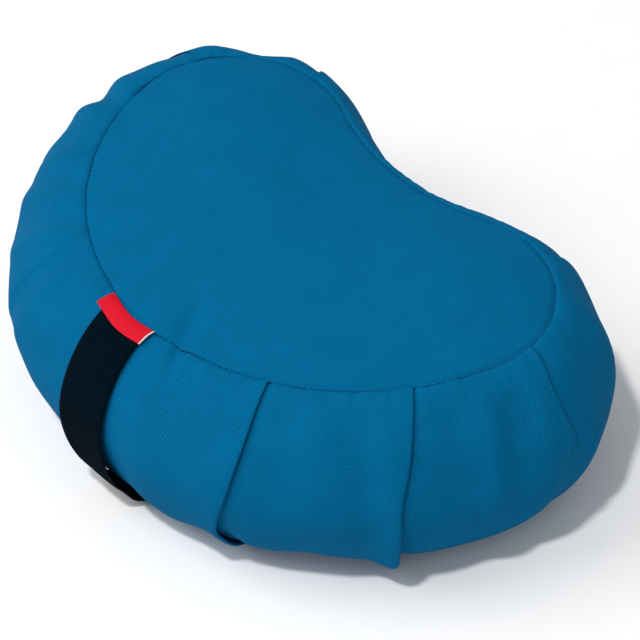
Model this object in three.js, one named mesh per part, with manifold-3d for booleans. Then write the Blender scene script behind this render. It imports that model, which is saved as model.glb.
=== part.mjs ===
// Crescent floor cushion: a pleated cover with a webbing handle, and a hull-filled liner inside it.
// Units are millimetres. +X runs from lobe to lobe, -Y is the long side with the handle, +Y is the
// notch and +Z is up. The cushion stands on z = 0, with the origin under the middle of its box.
// "Reach" is the distance outwards from the seam line in plan, and "inset" the depth under the skin.

import * as THREE from 'three';
import { mergeVertices } from 'three/addons/utils/BufferGeometryUtils.js';
import Module from 'manifold-3d';

const wasm = await Module();
wasm.setup();

// ---- Driving dimensions ----

// Plan of both seams: two round lobes joined by a long outer arc and by a short arc at the notch.
const lobeX = 101;
const lobeRadius = 77;
const outerRadius = 181;
const notchRadius = 183;
const planShift = 53.25;

// Heights: the top seam, its rise at the lobes' ends, the crown of the top, the base seam.
const seamHeight = 130;
const seamRise = 4;
const crownHeight = 13;
const baseSeamLift = 2;

// Side band: how far it bulges past the seams and lies on the floor, from the handle to the notch.
const bulge = [56, 54, 50, 34, 21];
const floorReach = [12.5, 10, 4];
const widestHeight = 67;
const handleDent = 6; // the handle draws the bulge in by this much, over this half width
const handleDentWidth = 36;
const lowerRoundness = 1.8;
const upperRoundness = 1.7;

// Layers, as insets under the cover's skin.
const coverThickness = 1;
const linerInset = 3;
const linerThickness = 0.8;
const fillInset = 4.4;

// Seams: the panel's edge stands back from the band, and the thread lies between them.
const panelEdge = 1.3;
const threadRadius = 0.35;
const threadDepth = 0.6;

// Stations round the plan, and rows up the band and across a panel.
const arcSteps = 8;
const lobeSteps = 8;
const lowerRows = 4;
const upperRows = 5;
const panelShares = [0, 0.12, 0.35, 0.65, 1];

// Zips, one in the cover's base and one in the liner's, along X on one line.
const zipY = -20;
const chainHalf = 120;
const coverZipHeight = 7.5;
const linerZipHeight = 15;
const clearance = 0.3;
const coil = { inner: 0.7, outer: 3.2, height: 2 };
const tape = { width: 10, thickness: 0.8, overrun: 5 };
const stopLength = 2.2;
const sliderSize = { length: 13, halfWidth: 5.2, wing: 1, flange: 0.6, flangeWidth: 0.8, post: 0.8 };
const arch = { halfLength: 5, foot: 1, width: 1.6, bar: 0.8, opening: 1.7 };
const pull = { length: 22, width: 6.4, thickness: 1, eyeWidth: 2.6, eyeLength: 5.8, holeRadius: 1.2 };
const sliderPark = 112;

// Hoods: the raised channel of each base panel over its zip, as half sizes at its foot and its top.
const windowHalf = 6.5;
const coverHood = { foot: [146, 22], top: [138, 14] };
const linerHood = { foot: [154, 30], top: [143, 19] };
const fillGroove = { foot: [158, 33], top: [147, 21], height: 18.2 };
const hoodWall = 1.3;

// Handle: webbing sewn into the top seam and the base seam, standing off the band between them.
// It leans a little, so its middle line has one x at the top seam and another at the base.
const webWidth = 38;
const webThickness = 1.6;
const webGap = 0.5;
const webSlack = 8;
const slackFall = 1.4; // over 1, the slack hangs below the middle
const webTopX = -3;
const webBaseX = 5;
const webSteps = 22;
const topEndShare = 0.095;
const baseEndShare = 0.885;
const lastShare = 0.985;
const cutShare = 0.002;

// Folded tag over the handle's top end.
const tagX = -6;
const tagWidth = 44;
const tagLength = 12;
const tagThickness = 1;
const tagGap = 0.4;

// ---- Materials ----

function cloth(color, roughness) {
  return new THREE.MeshStandardMaterial({ color, roughness, metalness: 0 });
}

function metal(color) {
  return new THREE.MeshStandardMaterial({ color, roughness: 0.35, metalness: 1 });
}

const blueTwill = cloth(0x076491, 0.85);
const navyWebbing = cloth(0x081826, 0.8);
const redTag = cloth(0xe01838, 0.7);
const blueThread = cloth(0x06466a, 0.6);
const muslin = cloth(0xe6dcc4, 0.9);
const creamThread = cloth(0xefe8d6, 0.7);
const hulls = cloth(0x4b3624, 0.95);
const navyTape = cloth(0x0b3550, 0.85);
const nylon = cloth(0x0a2c44, 0.45);
const creamTape = cloth(0xd9cfb6, 0.85);
const creamNylon = cloth(0xe8dfc8, 0.45);
const nickel = metal(0x9a9a96);

// ---- Plan ----

const outerArcY = Math.sqrt((outerRadius - lobeRadius) ** 2 - lobeX ** 2);
const notchArcY = Math.sqrt((notchRadius + lobeRadius) ** 2 - lobeX ** 2);
const handleSeamY = outerArcY - outerRadius;
const notchSeamY = notchArcY - notchRadius;
const spineMiddleY = (handleSeamY + notchSeamY) / 2;

// A point of the panels' spine, a curved line from the middle (0) to a lobe's centre (1).
function spinePoint(share) {
  return [lobeX * share, spineMiddleY * (1 - share * share)];
}

// One arc of the plan as stations: place, outward direction and the spine point that it faces.
function arcStations(centreY, centreX, radius, from, to, steps, outward, spineShare) {
  const made = [];
  for (let step = 0; step <= steps; step++) {
    const angle = THREE.MathUtils.lerp(from, to, step / steps);
    const [cos, sin] = [Math.cos(angle), Math.sin(angle)];
    const [spineX, spineY] = spinePoint(spineShare(step / steps));
    made.push({
      x: centreX + radius * cos,
      y: centreY + radius * sin,
      outX: outward * cos,
      outY: outward * sin,
      spineX,
      spineY,
    });
  }
  return made;
}

// All stations, counter-clockwise from the handle. "share" runs from 0 there to 1 at the notch.
function planStations() {
  const outerEnd = Math.atan2(-outerArcY, lobeX);
  const lobeEnd = Math.atan2(notchArcY, -lobeX);
  const notchStart = Math.atan2(-notchArcY, lobeX);
  const handle = -Math.PI / 2;
  const outer = arcStations(outerArcY, 0, outerRadius, handle, outerEnd, arcSteps, 1, (s) => s);
  const lobe = arcStations(0, lobeX, lobeRadius, outerEnd, lobeEnd, lobeSteps, 1, () => 1);
  const notch = arcStations(notchArcY, 0, notchRadius, notchStart, handle, arcSteps, -1, (s) => 1 - s);
  const half = [...outer, ...lobe.slice(1, -1), ...notch];
  let travelled = 0;
  half.forEach((station, i) => {
    const before = half[Math.max(i - 1, 0)];
    travelled += Math.hypot(station.x - before.x, station.y - before.y);
    station.share = travelled;
  });
  half.forEach((station) => {
    station.share /= travelled;
  });
  const mirrored = half.slice(1, -1).reverse().map((station) => ({
    ...station,
    x: -station.x,
    outX: -station.outX,
    spineX: -station.spineX,
  }));
  return [...half, ...mirrored];
}

const stations = planStations();

// A smooth value at a share of the way through a list.
function along(values, share) {
  const curve = new THREE.SplineCurve(values.map((value, i) => new THREE.Vector2(i, value)));
  return curve.getPoint(share).y;
}

function topSeamZ(x) {
  return seamHeight + seamRise * (x / (lobeX + lobeRadius)) ** 2;
}

// ---- Skins: rings of points round the plan ----

// The band's section at a station, from the base seam up to the top seam, as [reach, height] points.
function bandSection(station) {
  const dent = station.y < 0 ? handleDent * Math.exp(-((station.x / handleDentWidth) ** 2)) : 0;
  const widest = along(bulge, station.share) - dent;
  const foot = along(floorReach, station.share);
  const lowerRise = widestHeight - baseSeamLift;
  const upperRise = topSeamZ(station.x) - widestHeight;
  const section = [[0, baseSeamLift]];
  for (let row = 0; row <= lowerRows; row++) {
    const angle = (row / lowerRows) * (Math.PI / 2);
    const out = Math.sin(angle) ** (2 / lowerRoundness);
    const up = 1 - Math.max(Math.cos(angle), 0) ** (2 / lowerRoundness);
    section.push([foot + (widest - foot) * out, baseSeamLift + lowerRise * up]);
  }
  for (let row = 1; row <= upperRows; row++) {
    const angle = (row / upperRows) * (Math.PI / 2);
    const out = Math.max(Math.cos(angle), 0) ** (2 / upperRoundness);
    const up = Math.sin(angle) ** (2 / upperRoundness);
    section.push([widest * out, widestHeight + upperRise * up]);
  }
  return section;
}

// The outward direction at each point of a section: straight down at its start and up at its end.
function sectionNormals(section) {
  const last = section.length - 1;
  return section.map((point, i) => {
    if (i === 0) return [0, -1];
    if (i === last) return [0, 1];
    const along = [section[i + 1][0] - section[i - 1][0], section[i + 1][1] - section[i - 1][1]];
    const length = Math.hypot(...along);
    return [along[1] / length, -along[0] / length];
  });
}

function bandRings(inset) {
  const columns = stations.map((station) => {
    const section = bandSection(station);
    const normals = sectionNormals(section);
    return section.map(([reach, height], row) => {
      const inward = reach - inset * normals[row][0];
      const z = height - inset * normals[row][1];
      const x = station.x + station.outX * inward;
      const y = station.y + station.outY * inward + planShift;
      return new THREE.Vector3(x, y, z);
    });
  });
  return columns[0].map((_, row) => columns.map((column) => column[row]));
}

// A ring of a panel, at a share of the way from the panel's edge (0) to its spine (1).
function panelRing(share, heightAt) {
  return stations.map((station) => {
    const edgeX = station.x - station.outX * panelEdge;
    const edgeY = station.y - station.outY * panelEdge;
    const x = THREE.MathUtils.lerp(edgeX, station.spineX, share);
    const y = THREE.MathUtils.lerp(edgeY, station.spineY, share);
    return new THREE.Vector3(x, y + planShift, heightAt(x, share));
  });
}

function topPanelRings(inset) {
  const crowned = (x, share) => topSeamZ(x) + crownHeight * (1 - (1 - share) ** 2) - inset;
  return panelShares.map((share) => panelRing(share, crowned));
}

// ---- Solids ----

// Turns loose triangles into an indexed mesh with shared corners and no collapsed triangles.
function weld(positions) {
  const loose = new THREE.BufferGeometry();
  loose.setAttribute('position', new THREE.Float32BufferAttribute(positions, 3));
  const merged = mergeVertices(loose, 1e-3);
  const index = merged.index.array;
  const kept = [];
  for (let i = 0; i < index.length; i += 3) {
    const [a, b, c] = [index[i], index[i + 1], index[i + 2]];
    if (a !== b && b !== c && c !== a) kept.push(a, b, c);
  }
  merged.setIndex(kept);
  merged.computeVertexNormals();
  return merged;
}

// A shape given a thickness along +Z.
function extruded(shape, depth) {
  const made = new THREE.ExtrudeGeometry(shape, { depth, bevelEnabled: false, curveSegments: 6 });
  return weld([...made.attributes.position.array]);
}

// Skins a list of rings. A closed list is a tube round the plan, an open one starts and ends on spines.
function sweepRings(rings, closed) {
  const positions = [];
  const bands = closed ? rings.length : rings.length - 1;
  for (let band = 0; band < bands; band++) {
    const low = rings[band];
    const high = rings[(band + 1) % rings.length];
    low.forEach((corner, i) => {
      const next = (i + 1) % low.length;
      positions.push(...corner, ...low[next], ...high[next]);
      positions.push(...corner, ...high[next], ...high[i]);
    });
  }
  return weld(positions);
}

function bandShell(inset, thickness) {
  return sweepRings([...bandRings(inset), ...bandRings(inset + thickness).reverse()], true);
}

function topPanelShell(inset, thickness) {
  return sweepRings([...topPanelRings(inset + thickness).reverse(), ...topPanelRings(inset)], false);
}

// A flat slab of the panel's outline between two heights.
function slab(bottom, top) {
  const flat = (share, height) => panelRing(share, () => height);
  return sweepRings([flat(1, bottom), flat(0, bottom), flat(0, top), flat(1, top)], false);
}

// The thread of a seam: a thin tube between the panel's edge and the band.
function seamThread(heightAt) {
  const sides = [[-1, 0], [0, -1], [1, 0], [0, 1]];
  const rings = sides.map(([out, up]) => stations.map((station) => {
    const reach = threadRadius * out - panelEdge / 2;
    const x = station.x + station.outX * reach;
    const y = station.y + station.outY * reach + planShift;
    return new THREE.Vector3(x, y, heightAt(station.x) + threadRadius * up);
  }));
  return sweepRings(rings, true);
}

function solidOf(geometry) {
  const bare = geometry.clone();
  bare.deleteAttribute('normal');
  bare.deleteAttribute('uv');
  const merged = mergeVertices(bare, 1e-3);
  const vertProperties = merged.attributes.position.array;
  const triVerts = new Uint32Array(merged.index.array);
  return new wasm.Manifold(new wasm.Mesh({ numProp: 3, vertProperties, triVerts }));
}

function geometryOf(solid) {
  const { vertProperties, triVerts } = solid.getMesh();
  const made = new THREE.BufferGeometry();
  made.setAttribute('position', new THREE.Float32BufferAttribute(vertProperties, 3));
  made.setIndex([...triVerts]);
  made.computeVertexNormals();
  return made;
}

// A box between two corners given in the plan's own frame.
function box(low, high) {
  const size = high.map((value, axis) => value - low[axis]);
  const made = new THREE.BoxGeometry(...size);
  made.translate((low[0] + high[0]) / 2, (low[1] + high[1]) / 2 + planShift, (low[2] + high[2]) / 2);
  return made;
}

// A flat-topped hump over the zip line, with half sizes [x, y] at its foot and at its top.
function hump(foot, top, bottomZ, topZ) {
  const made = new THREE.BoxGeometry(2, 2, topZ - bottomZ);
  const corners = made.attributes.position;
  for (let i = 0; i < corners.count; i++) {
    const half = corners.getZ(i) > 0 ? top : foot;
    corners.setX(i, Math.sign(corners.getX(i)) * half[0]);
    corners.setY(i, Math.sign(corners.getY(i)) * half[1]);
  }
  made.translate(0, zipY + planShift, (bottomZ + topZ) / 2);
  return made;
}

// ---- Base panels: two halves that meet on the zip line, raised over the zip ----

function basePanel(bottom, thickness, hood, hoodTop, side) {
  const under = bottom - thickness;
  const inner = (half) => half.map((value) => value - hoodWall);
  const window = [chainHalf + stopLength + 1, windowHalf];
  const far = 400;
  const meeting = side * clearance / 2;
  const keptSide = side < 0
    ? box([-far, -far, -far], [far, zipY + meeting, far])
    : box([-far, zipY + meeting, -far], [far, far, far]);
  const panel = solidOf(slab(bottom, bottom + thickness))
    .add(solidOf(hump(hood.foot, hood.top, bottom, hoodTop)))
    .subtract(solidOf(hump(inner(hood.foot), inner(hood.top), under, hoodTop - thickness)))
    .subtract(solidOf(box([-window[0], zipY - window[1], under], [window[0], zipY + window[1], far])))
    .intersect(solidOf(keptSide));
  return geometryOf(panel);
}

// ---- Zips ----

// A bar along X beside the zip line. "side" is -1 at the front and 1 at the rear.
function zipBar(side, near, distant, bottom, top, from, to) {
  const ends = [zipY + side * near, zipY + side * distant].sort((a, b) => a - b);
  return box([from, ends[0], bottom], [to, ends[1], top]);
}

// One row of the closed coil: a bar with bevelled edges.
function coilRow(side, height) {
  const half = coil.height / 2;
  const bevel = half / 2;
  const [near, distant] = [coil.inner, coil.outer];
  const outline = new THREE.Shape([
    new THREE.Vector2(near, -half + bevel),
    new THREE.Vector2(near + bevel, -half),
    new THREE.Vector2(distant - bevel, -half),
    new THREE.Vector2(distant, -half + bevel),
    new THREE.Vector2(distant, half - bevel),
    new THREE.Vector2(distant - bevel, half),
    new THREE.Vector2(near + bevel, half),
    new THREE.Vector2(near, half - bevel),
  ]);
  const row = extruded(outline, 2 * chainHalf);
  const turned = new THREE.Matrix4().makeBasis(
    new THREE.Vector3(0, side, 0),
    new THREE.Vector3(0, 0, side),
    new THREE.Vector3(1, 0, 0),
  );
  row.applyMatrix4(turned);
  row.translate(-chainHalf, zipY + planShift, height);
  return row;
}

// The slider: two wings joined by a post between the rows, with flanges beside the tapes.
function slider(height, withArch) {
  const { length, halfWidth, wing, flange, flangeWidth, post } = sliderSize;
  const coilTop = height + coil.height / 2;
  const coilFoot = height - coil.height / 2;
  const x0 = sliderPark - length / 2;
  const x1 = sliderPark + length / 2;
  const wingUnder = coilFoot - clearance - wing;
  const wingOver = coilTop + clearance;
  const inside = halfWidth - flangeWidth;
  const bars = [
    box([x0, zipY - halfWidth, wingUnder], [x1, zipY + halfWidth, wingUnder + wing]),
    box([x0, zipY - halfWidth, wingOver], [x1, zipY + halfWidth, wingOver + wing]),
    box([sliderPark + 1, zipY - post / 2, wingUnder], [x1 - 0.5, zipY + post / 2, wingOver + wing]),
  ];
  for (const side of [-1, 1]) {
    bars.push(zipBar(side, inside, halfWidth, wingUnder, wingUnder + wing + flange, x0, x1));
    bars.push(zipBar(side, inside, halfWidth, wingOver - flange, wingOver + wing, x0, x1));
  }
  if (withArch) {
    const barFoot = wingUnder - arch.opening - arch.bar;
    const reach = arch.halfLength;
    const halfArch = arch.width / 2;
    const archBar = [barFoot, barFoot + arch.bar];
    bars.push(box(
      [sliderPark - reach, zipY - halfArch, archBar[0]],
      [sliderPark + reach, zipY + halfArch, archBar[1]],
    ));
    for (const foot of [-reach, reach - arch.foot]) {
      bars.push(box(
        [sliderPark + foot, zipY - halfArch, barFoot],
        [sliderPark + foot + arch.foot, zipY + halfArch, wingUnder + wing / 2],
      ));
    }
  }
  return geometryOf(bars.map(solidOf).reduce((joined, bar) => joined.add(bar)));
}

// The pull tab: a flat tab whose eye goes round the slider's arch. It lies along -X.
function pullTab(height) {
  const { length, width, thickness, eyeWidth, eyeLength, holeRadius } = pull;
  const half = width / 2;
  const back = thickness / 2;
  const outline = new THREE.Shape();
  outline.moveTo(back, -half * 0.8);
  outline.lineTo(back, half * 0.8);
  outline.lineTo(-length * 0.4, half * 0.7);
  outline.absarc(-length + half, 0, half, Math.PI / 2, 1.5 * Math.PI, false);
  outline.lineTo(-length * 0.4, -half * 0.7);
  outline.closePath();
  const eye = new THREE.Path([
    new THREE.Vector2(-back, -eyeWidth / 2),
    new THREE.Vector2(-back, eyeWidth / 2),
    new THREE.Vector2(-back - eyeLength, eyeWidth / 2),
    new THREE.Vector2(-back - eyeLength, -eyeWidth / 2),
  ]);
  const hole = new THREE.Path();
  hole.absarc(-length + half, 0, holeRadius, 0, 2 * Math.PI, true);
  outline.holes.push(eye, hole);
  const tab = extruded(outline, thickness);
  const wingUnder = height - coil.height / 2 - clearance - sliderSize.wing;
  tab.translate(sliderPark, zipY + planShift, wingUnder - arch.opening / 2 - thickness / 2);
  return tab;
}

// ---- Handle and tag: ribbons that follow the middle of the band's long side ----

const handleSection = bandSection(stations[0]).reverse();

// A point over the band at a share of the way from the top seam to the base seam.
function overBand(share, lift) {
  const curve = new THREE.SplineCurve(handleSection.map(([reach, z]) => new THREE.Vector2(reach, z)));
  const point = curve.getPointAt(share);
  const tangent = curve.getTangentAt(share);
  return new THREE.Vector2(point.x - tangent.y * lift, point.y + tangent.x * lift);
}

// How far the slack holds the webbing off the band.
function slackAt(share) {
  return webSlack * Math.sin(Math.PI * share ** slackFall);
}

// The middle line of the webbing: held close at both seams, slack between, never under the floor.
function webbingPoint(share) {
  const point = overBand(share, webGap + webThickness / 2 + slackAt(share));
  point.y = Math.max(point.y, webThickness / 2 + 0.1);
  return point;
}

// A flat ribbon of even thickness along a line of [reach, height] points, centred on middleX(height).
function ribbon(line, width, thickness, middleX) {
  const sides = [-1, 1].map((side) => line.map((point, i) => {
    const along = line[Math.min(i + 1, line.length - 1)].clone().sub(line[Math.max(i - 1, 0)]);
    along.normalize().multiplyScalar(side * thickness / 2);
    return new THREE.Vector2(point.x - along.y, point.y + along.x);
  }));
  const outline = new THREE.Shape([...sides[0], ...sides[1].reverse()]);
  const made = extruded(outline, width);
  made.applyMatrix4(new THREE.Matrix4().makeBasis(
    new THREE.Vector3(0, -1, 0),
    new THREE.Vector3(0, 0, 1),
    new THREE.Vector3(-1, 0, 0),
  ));
  made.translate(width / 2, handleSeamY + planShift, 0);
  const corners = made.attributes.position;
  for (let i = 0; i < corners.count; i++) {
    corners.setX(i, corners.getX(i) + middleX(corners.getZ(i)));
  }
  return made;
}

function webbingX(height) {
  return THREE.MathUtils.mapLinear(height, 0, seamHeight, webBaseX, webTopX);
}

function webbing(from, to) {
  const steps = Math.max(2, Math.round((to - from) * webSteps));
  const line = [];
  for (let step = 0; step <= steps; step++) {
    line.push(webbingPoint(THREE.MathUtils.lerp(from, to, step / steps)));
  }
  return ribbon(line, webWidth, webThickness, webbingX);
}

function tag() {
  const lift = webGap + webThickness + tagGap + tagThickness / 2;
  const sectionLength = new THREE.SplineCurve(
    handleSection.map(([reach, z]) => new THREE.Vector2(reach, z)),
  ).getLength();
  const line = [];
  for (let step = 0; step <= 3; step++) {
    const share = (0.5 + (tagLength - 0.5) * step / 3) / sectionLength;
    line.push(overBand(share, lift + slackAt(share)));
  }
  return ribbon(line, tagWidth, tagThickness, () => tagX);
}

// ---- Assembly ----

const cushion = new THREE.Group();

function piece(name, geometry, material) {
  const mesh = new THREE.Mesh(geometry, material);
  mesh.name = name;
  cushion.add(mesh);
}

// Every piece of one zip, centred on a height, in its own colours.
function addZip(prefix, height, tapeFinish, coilFinish, threadFinish) {
  const tapeInner = coil.outer + clearance;
  const tapeBottom = height - tape.thickness / 2;
  const tapeEnd = chainHalf + tape.overrun;
  const stitchTop = tapeBottom - 2 * clearance - coverThickness;
  const stopStart = chainHalf + clearance;
  const stopZ = [height - coil.height / 2 - clearance, height + coil.height / 2 + clearance];
  for (const [side, place] of [[-1, 'front'], [1, 'rear']]) {
    const tapeOuter = tapeInner + tape.width;
    const stitchY = windowHalf + 2;
    const stitchFoot = stitchTop - 2 * threadRadius;
    piece(`${prefix}_zip_tape_${place}`,
      zipBar(side, tapeInner, tapeOuter, tapeBottom, tapeBottom + tape.thickness, -tapeEnd, tapeEnd),
      tapeFinish);
    piece(`${prefix}_zip_coil_${place}`, coilRow(side, height), coilFinish);
    piece(`${prefix}_zip_stitch_${place}`,
      zipBar(side, stitchY, stitchY + 2 * threadRadius, stitchFoot, stitchTop, -tapeEnd, tapeEnd),
      threadFinish);
    piece(`${prefix}_zip_top_stop_${place}`,
      zipBar(side, coil.inner, coil.outer, stopZ[0], stopZ[1], stopStart, stopStart + stopLength),
      nickel);
  }
  piece(`${prefix}_zip_bottom_stop`,
    box([-stopStart - stopLength, zipY - coil.outer, stopZ[0]], [-stopStart, zipY + coil.outer, stopZ[1]]),
    nickel);
}

// Cover
const coverHoodTop = coverZipHeight - tape.thickness / 2 - clearance;
piece('cover_top_panel', topPanelShell(0, coverThickness), blueTwill);
piece('cover_side_band', bandShell(0, coverThickness), blueTwill);
piece('cover_base_front', basePanel(0, coverThickness, coverHood, coverHoodTop, -1), blueTwill);
piece('cover_base_rear', basePanel(0, coverThickness, coverHood, coverHoodTop, 1), blueTwill);
piece('cover_top_seam_thread', seamThread((x) => topSeamZ(x) - threadDepth), blueThread);
piece('cover_base_seam_thread', seamThread(() => coverThickness + 0.5), blueThread);
addZip('cover', coverZipHeight, navyTape, nylon, blueThread);
piece('cover_zip_slider', slider(coverZipHeight, true), nickel);
piece('cover_zip_pull', pullTab(coverZipHeight), nickel);

// Handle and tag
piece('handle_top_end', webbing(0.006, topEndShare - cutShare), navyWebbing);
piece('handle_strap', webbing(topEndShare, baseEndShare), navyWebbing);
piece('handle_base_end', webbing(baseEndShare + cutShare, lastShare), navyWebbing);
piece('woven_tag', tag(), redTag);

// Liner
const linerHoodTop = linerZipHeight - tape.thickness / 2 - clearance;
piece('liner_top_panel', topPanelShell(linerInset, linerThickness), muslin);
piece('liner_side_band', bandShell(linerInset, linerThickness), muslin);
piece('liner_base_front', basePanel(linerInset, linerThickness, linerHood, linerHoodTop, -1), muslin);
piece('liner_base_rear', basePanel(linerInset, linerThickness, linerHood, linerHoodTop, 1), muslin);
piece('liner_top_seam_thread', seamThread((x) => topSeamZ(x) - linerInset - threadDepth), creamThread);
piece('liner_base_seam_thread', seamThread(() => linerInset + linerThickness + 0.5), creamThread);
addZip('liner', linerZipHeight, creamTape, creamNylon, creamThread);
piece('liner_zip_slider', slider(linerZipHeight, false), nickel);

// Fill, with a groove round the liner's zip
const base = (share) => panelRing(share, () => fillInset);
const fillSkin = sweepRings([base(1), base(0), ...bandRings(fillInset), ...topPanelRings(fillInset)], false);
const groove = hump(fillGroove.foot, fillGroove.top, fillInset, fillGroove.height);
const grooveMouth = hump(fillGroove.foot, fillGroove.foot, 0, fillInset + 0.01);
const fill = solidOf(fillSkin).subtract(solidOf(groove).add(solidOf(grooveMouth)));
piece('hull_fill', geometryOf(fill), hulls);

export default cushion;
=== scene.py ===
"""Crescent floor cushion: pleated blue twill cover, navy webbing handle, hull-filled muslin liner.

Metres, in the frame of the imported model: +X runs from lobe to lobe, -Y is the long side with the
handle, +Y is the notch and +Z is up. "s" is the length along the seams from the handle, positive
towards +X. "v" is the share of the way up the side band, from the base seam (0) to the top seam (1).
"""

import math

import bmesh
import bpy
import numpy as np
from mathutils import Matrix, Vector
from mathutils.geometry import delaunay_2d_cdt


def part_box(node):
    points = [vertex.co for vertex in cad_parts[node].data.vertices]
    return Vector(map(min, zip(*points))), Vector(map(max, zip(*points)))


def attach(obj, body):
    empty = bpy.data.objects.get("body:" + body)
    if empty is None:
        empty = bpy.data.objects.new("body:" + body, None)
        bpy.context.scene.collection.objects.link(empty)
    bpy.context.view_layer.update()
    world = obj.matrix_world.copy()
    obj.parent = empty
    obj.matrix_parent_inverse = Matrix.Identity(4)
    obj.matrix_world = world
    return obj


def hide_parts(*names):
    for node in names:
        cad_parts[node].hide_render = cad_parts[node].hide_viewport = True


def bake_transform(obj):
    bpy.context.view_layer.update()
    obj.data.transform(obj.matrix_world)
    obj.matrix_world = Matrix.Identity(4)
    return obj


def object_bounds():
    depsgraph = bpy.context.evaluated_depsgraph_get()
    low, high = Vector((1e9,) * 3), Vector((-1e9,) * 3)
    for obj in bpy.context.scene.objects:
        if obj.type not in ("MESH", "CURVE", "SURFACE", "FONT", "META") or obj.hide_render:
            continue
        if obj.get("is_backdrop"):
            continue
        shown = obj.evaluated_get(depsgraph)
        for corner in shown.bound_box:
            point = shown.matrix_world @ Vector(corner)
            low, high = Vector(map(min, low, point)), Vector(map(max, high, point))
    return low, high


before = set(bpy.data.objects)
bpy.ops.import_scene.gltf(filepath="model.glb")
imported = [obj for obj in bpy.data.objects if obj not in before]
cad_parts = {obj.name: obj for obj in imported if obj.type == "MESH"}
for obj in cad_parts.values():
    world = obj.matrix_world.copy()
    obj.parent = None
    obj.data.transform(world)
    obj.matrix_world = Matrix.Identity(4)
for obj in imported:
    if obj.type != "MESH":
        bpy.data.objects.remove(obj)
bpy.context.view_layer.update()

MM = 0.001
SEED = 7

# ---- Driving dimensions ----

# Plan of both seams: two round lobes joined by a long outer arc and by a short arc at the notch.
LOBE_X = 101 * MM
LOBE_RADIUS = 77 * MM
OUTER_RADIUS = 181 * MM
NOTCH_RADIUS = 183 * MM
PANEL_EDGE = 1.3 * MM

# Heights of the top seam, its rise at the lobes' ends, the crown of the top, the base seam.
SEAM_HEIGHT = 130 * MM
SEAM_RISE = 4 * MM
CROWN = 13 * MM
BASE_LIFT = 2 * MM
FLOOR_CLEARANCE = 0.1 * MM

# Side band, from the handle round to the notch.
BULGE = [56 * MM, 54 * MM, 50 * MM, 34 * MM, 21 * MM]
FLOOR_REACH = [12.5 * MM, 10 * MM, 4 * MM]
WIDEST_HEIGHT = 67 * MM
HANDLE_DENT = 9.5 * MM
HANDLE_DENT_WIDTH = 36 * MM
HANDLE_PULL = 4 * MM  # the handle draws the top seam outwards by this much, about this place
HANDLE_PULL_S = -6 * MM
HANDLE_PULL_WIDTH = 23 * MM
LOWER_ROUNDNESS = 1.8
UPPER_ROUNDNESS = 1.7

# Layers, as depths under the cover's skin.
COVER_THICKNESS = 1.0 * MM
LINER_INSET = 3.0 * MM
LINER_THICKNESS = 0.8 * MM
FILL_INSET = 4.4 * MM

# Worked out from those.
OUTER_ARC_Y = math.sqrt((OUTER_RADIUS - LOBE_RADIUS) ** 2 - LOBE_X**2)
NOTCH_ARC_Y = math.sqrt((NOTCH_RADIUS + LOBE_RADIUS) ** 2 - LOBE_X**2)
HANDLE_SEAM_Y = OUTER_ARC_Y - OUTER_RADIUS
NOTCH_SEAM_Y = NOTCH_ARC_Y - NOTCH_RADIUS
SPINE_Y = (HANDLE_SEAM_Y + NOTCH_SEAM_Y) / 2
PLAN_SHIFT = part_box("cover_top_panel")[0].y - HANDLE_SEAM_Y - PANEL_EDGE
OUTER_END = math.atan2(-OUTER_ARC_Y, LOBE_X)
LOBE_END = math.atan2(NOTCH_ARC_Y, -LOBE_X)
NOTCH_START = math.atan2(-NOTCH_ARC_Y, LOBE_X)
OUTER_LENGTH = OUTER_RADIUS * (OUTER_END + math.pi / 2)
LOBE_LENGTH = LOBE_RADIUS * (LOBE_END - OUTER_END)
NOTCH_LENGTH = NOTCH_RADIUS * (NOTCH_START + math.pi / 2)
HALF_LOOP = OUTER_LENGTH + LOBE_LENGTH + NOTCH_LENGTH
LOOP = 2 * HALF_LOOP

# ---- Small number helpers ----


def smoothstep(low, high, value):
    share = np.clip((value - low) / (high - low), 0, 1)
    return share * share * (3 - 2 * share)


def bell(distance, width):
    return np.exp(-((distance / width) ** 2))


def eased(values, share):
    """A smooth value at a share of the way through an evenly spaced list, level at both ends."""
    spots = np.clip(share, 0, 1) * (len(values) - 1)
    spot = np.minimum(spots.astype(int), len(values) - 2)
    t = spots - spot
    padded = np.array([values[1], *values, values[-2]])
    before, low, high, after = (padded[spot + i] for i in range(4))
    slope_low, slope_high = (high - before) / 2, (after - low) / 2
    cubic = 2 * low - 2 * high + slope_low + slope_high
    square = -3 * low + 3 * high - 2 * slope_low - slope_high
    return ((cubic * t + square) * t + slope_low) * t + low


def through(points, at):
    """A smooth value at "at", through listed (place, value) points."""
    places, values = (np.array(column, float) for column in zip(*sorted(points)))
    spot = np.clip(np.searchsorted(places, at) - 1, 0, len(places) - 2)
    t = np.clip((at - places[spot]) / (places[spot + 1] - places[spot]), 0, 1)
    slopes = np.gradient(values, places)
    run = places[spot + 1] - places[spot]
    low, high = values[spot], values[spot + 1]
    hermite = (2 * t**3 - 3 * t**2 + 1) * low + (3 * t**2 - 2 * t**3) * high
    return hermite + ((t**3 - 2 * t**2 + t) * slopes[spot] + (t**3 - t**2) * slopes[spot + 1]) * run


def loop_ripple(s, wavelengths, seed):
    """Smooth noise along the loop, about -1 to 1, from a few waves that close on themselves."""
    draws = np.random.default_rng(seed)
    total = np.zeros_like(s)
    for wavelength in wavelengths:
        turns = round(LOOP / wavelength)
        total += np.sin(2 * np.pi * turns * s / LOOP + draws.uniform(0, 2 * np.pi))
    return total / math.sqrt(len(wavelengths))


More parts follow.
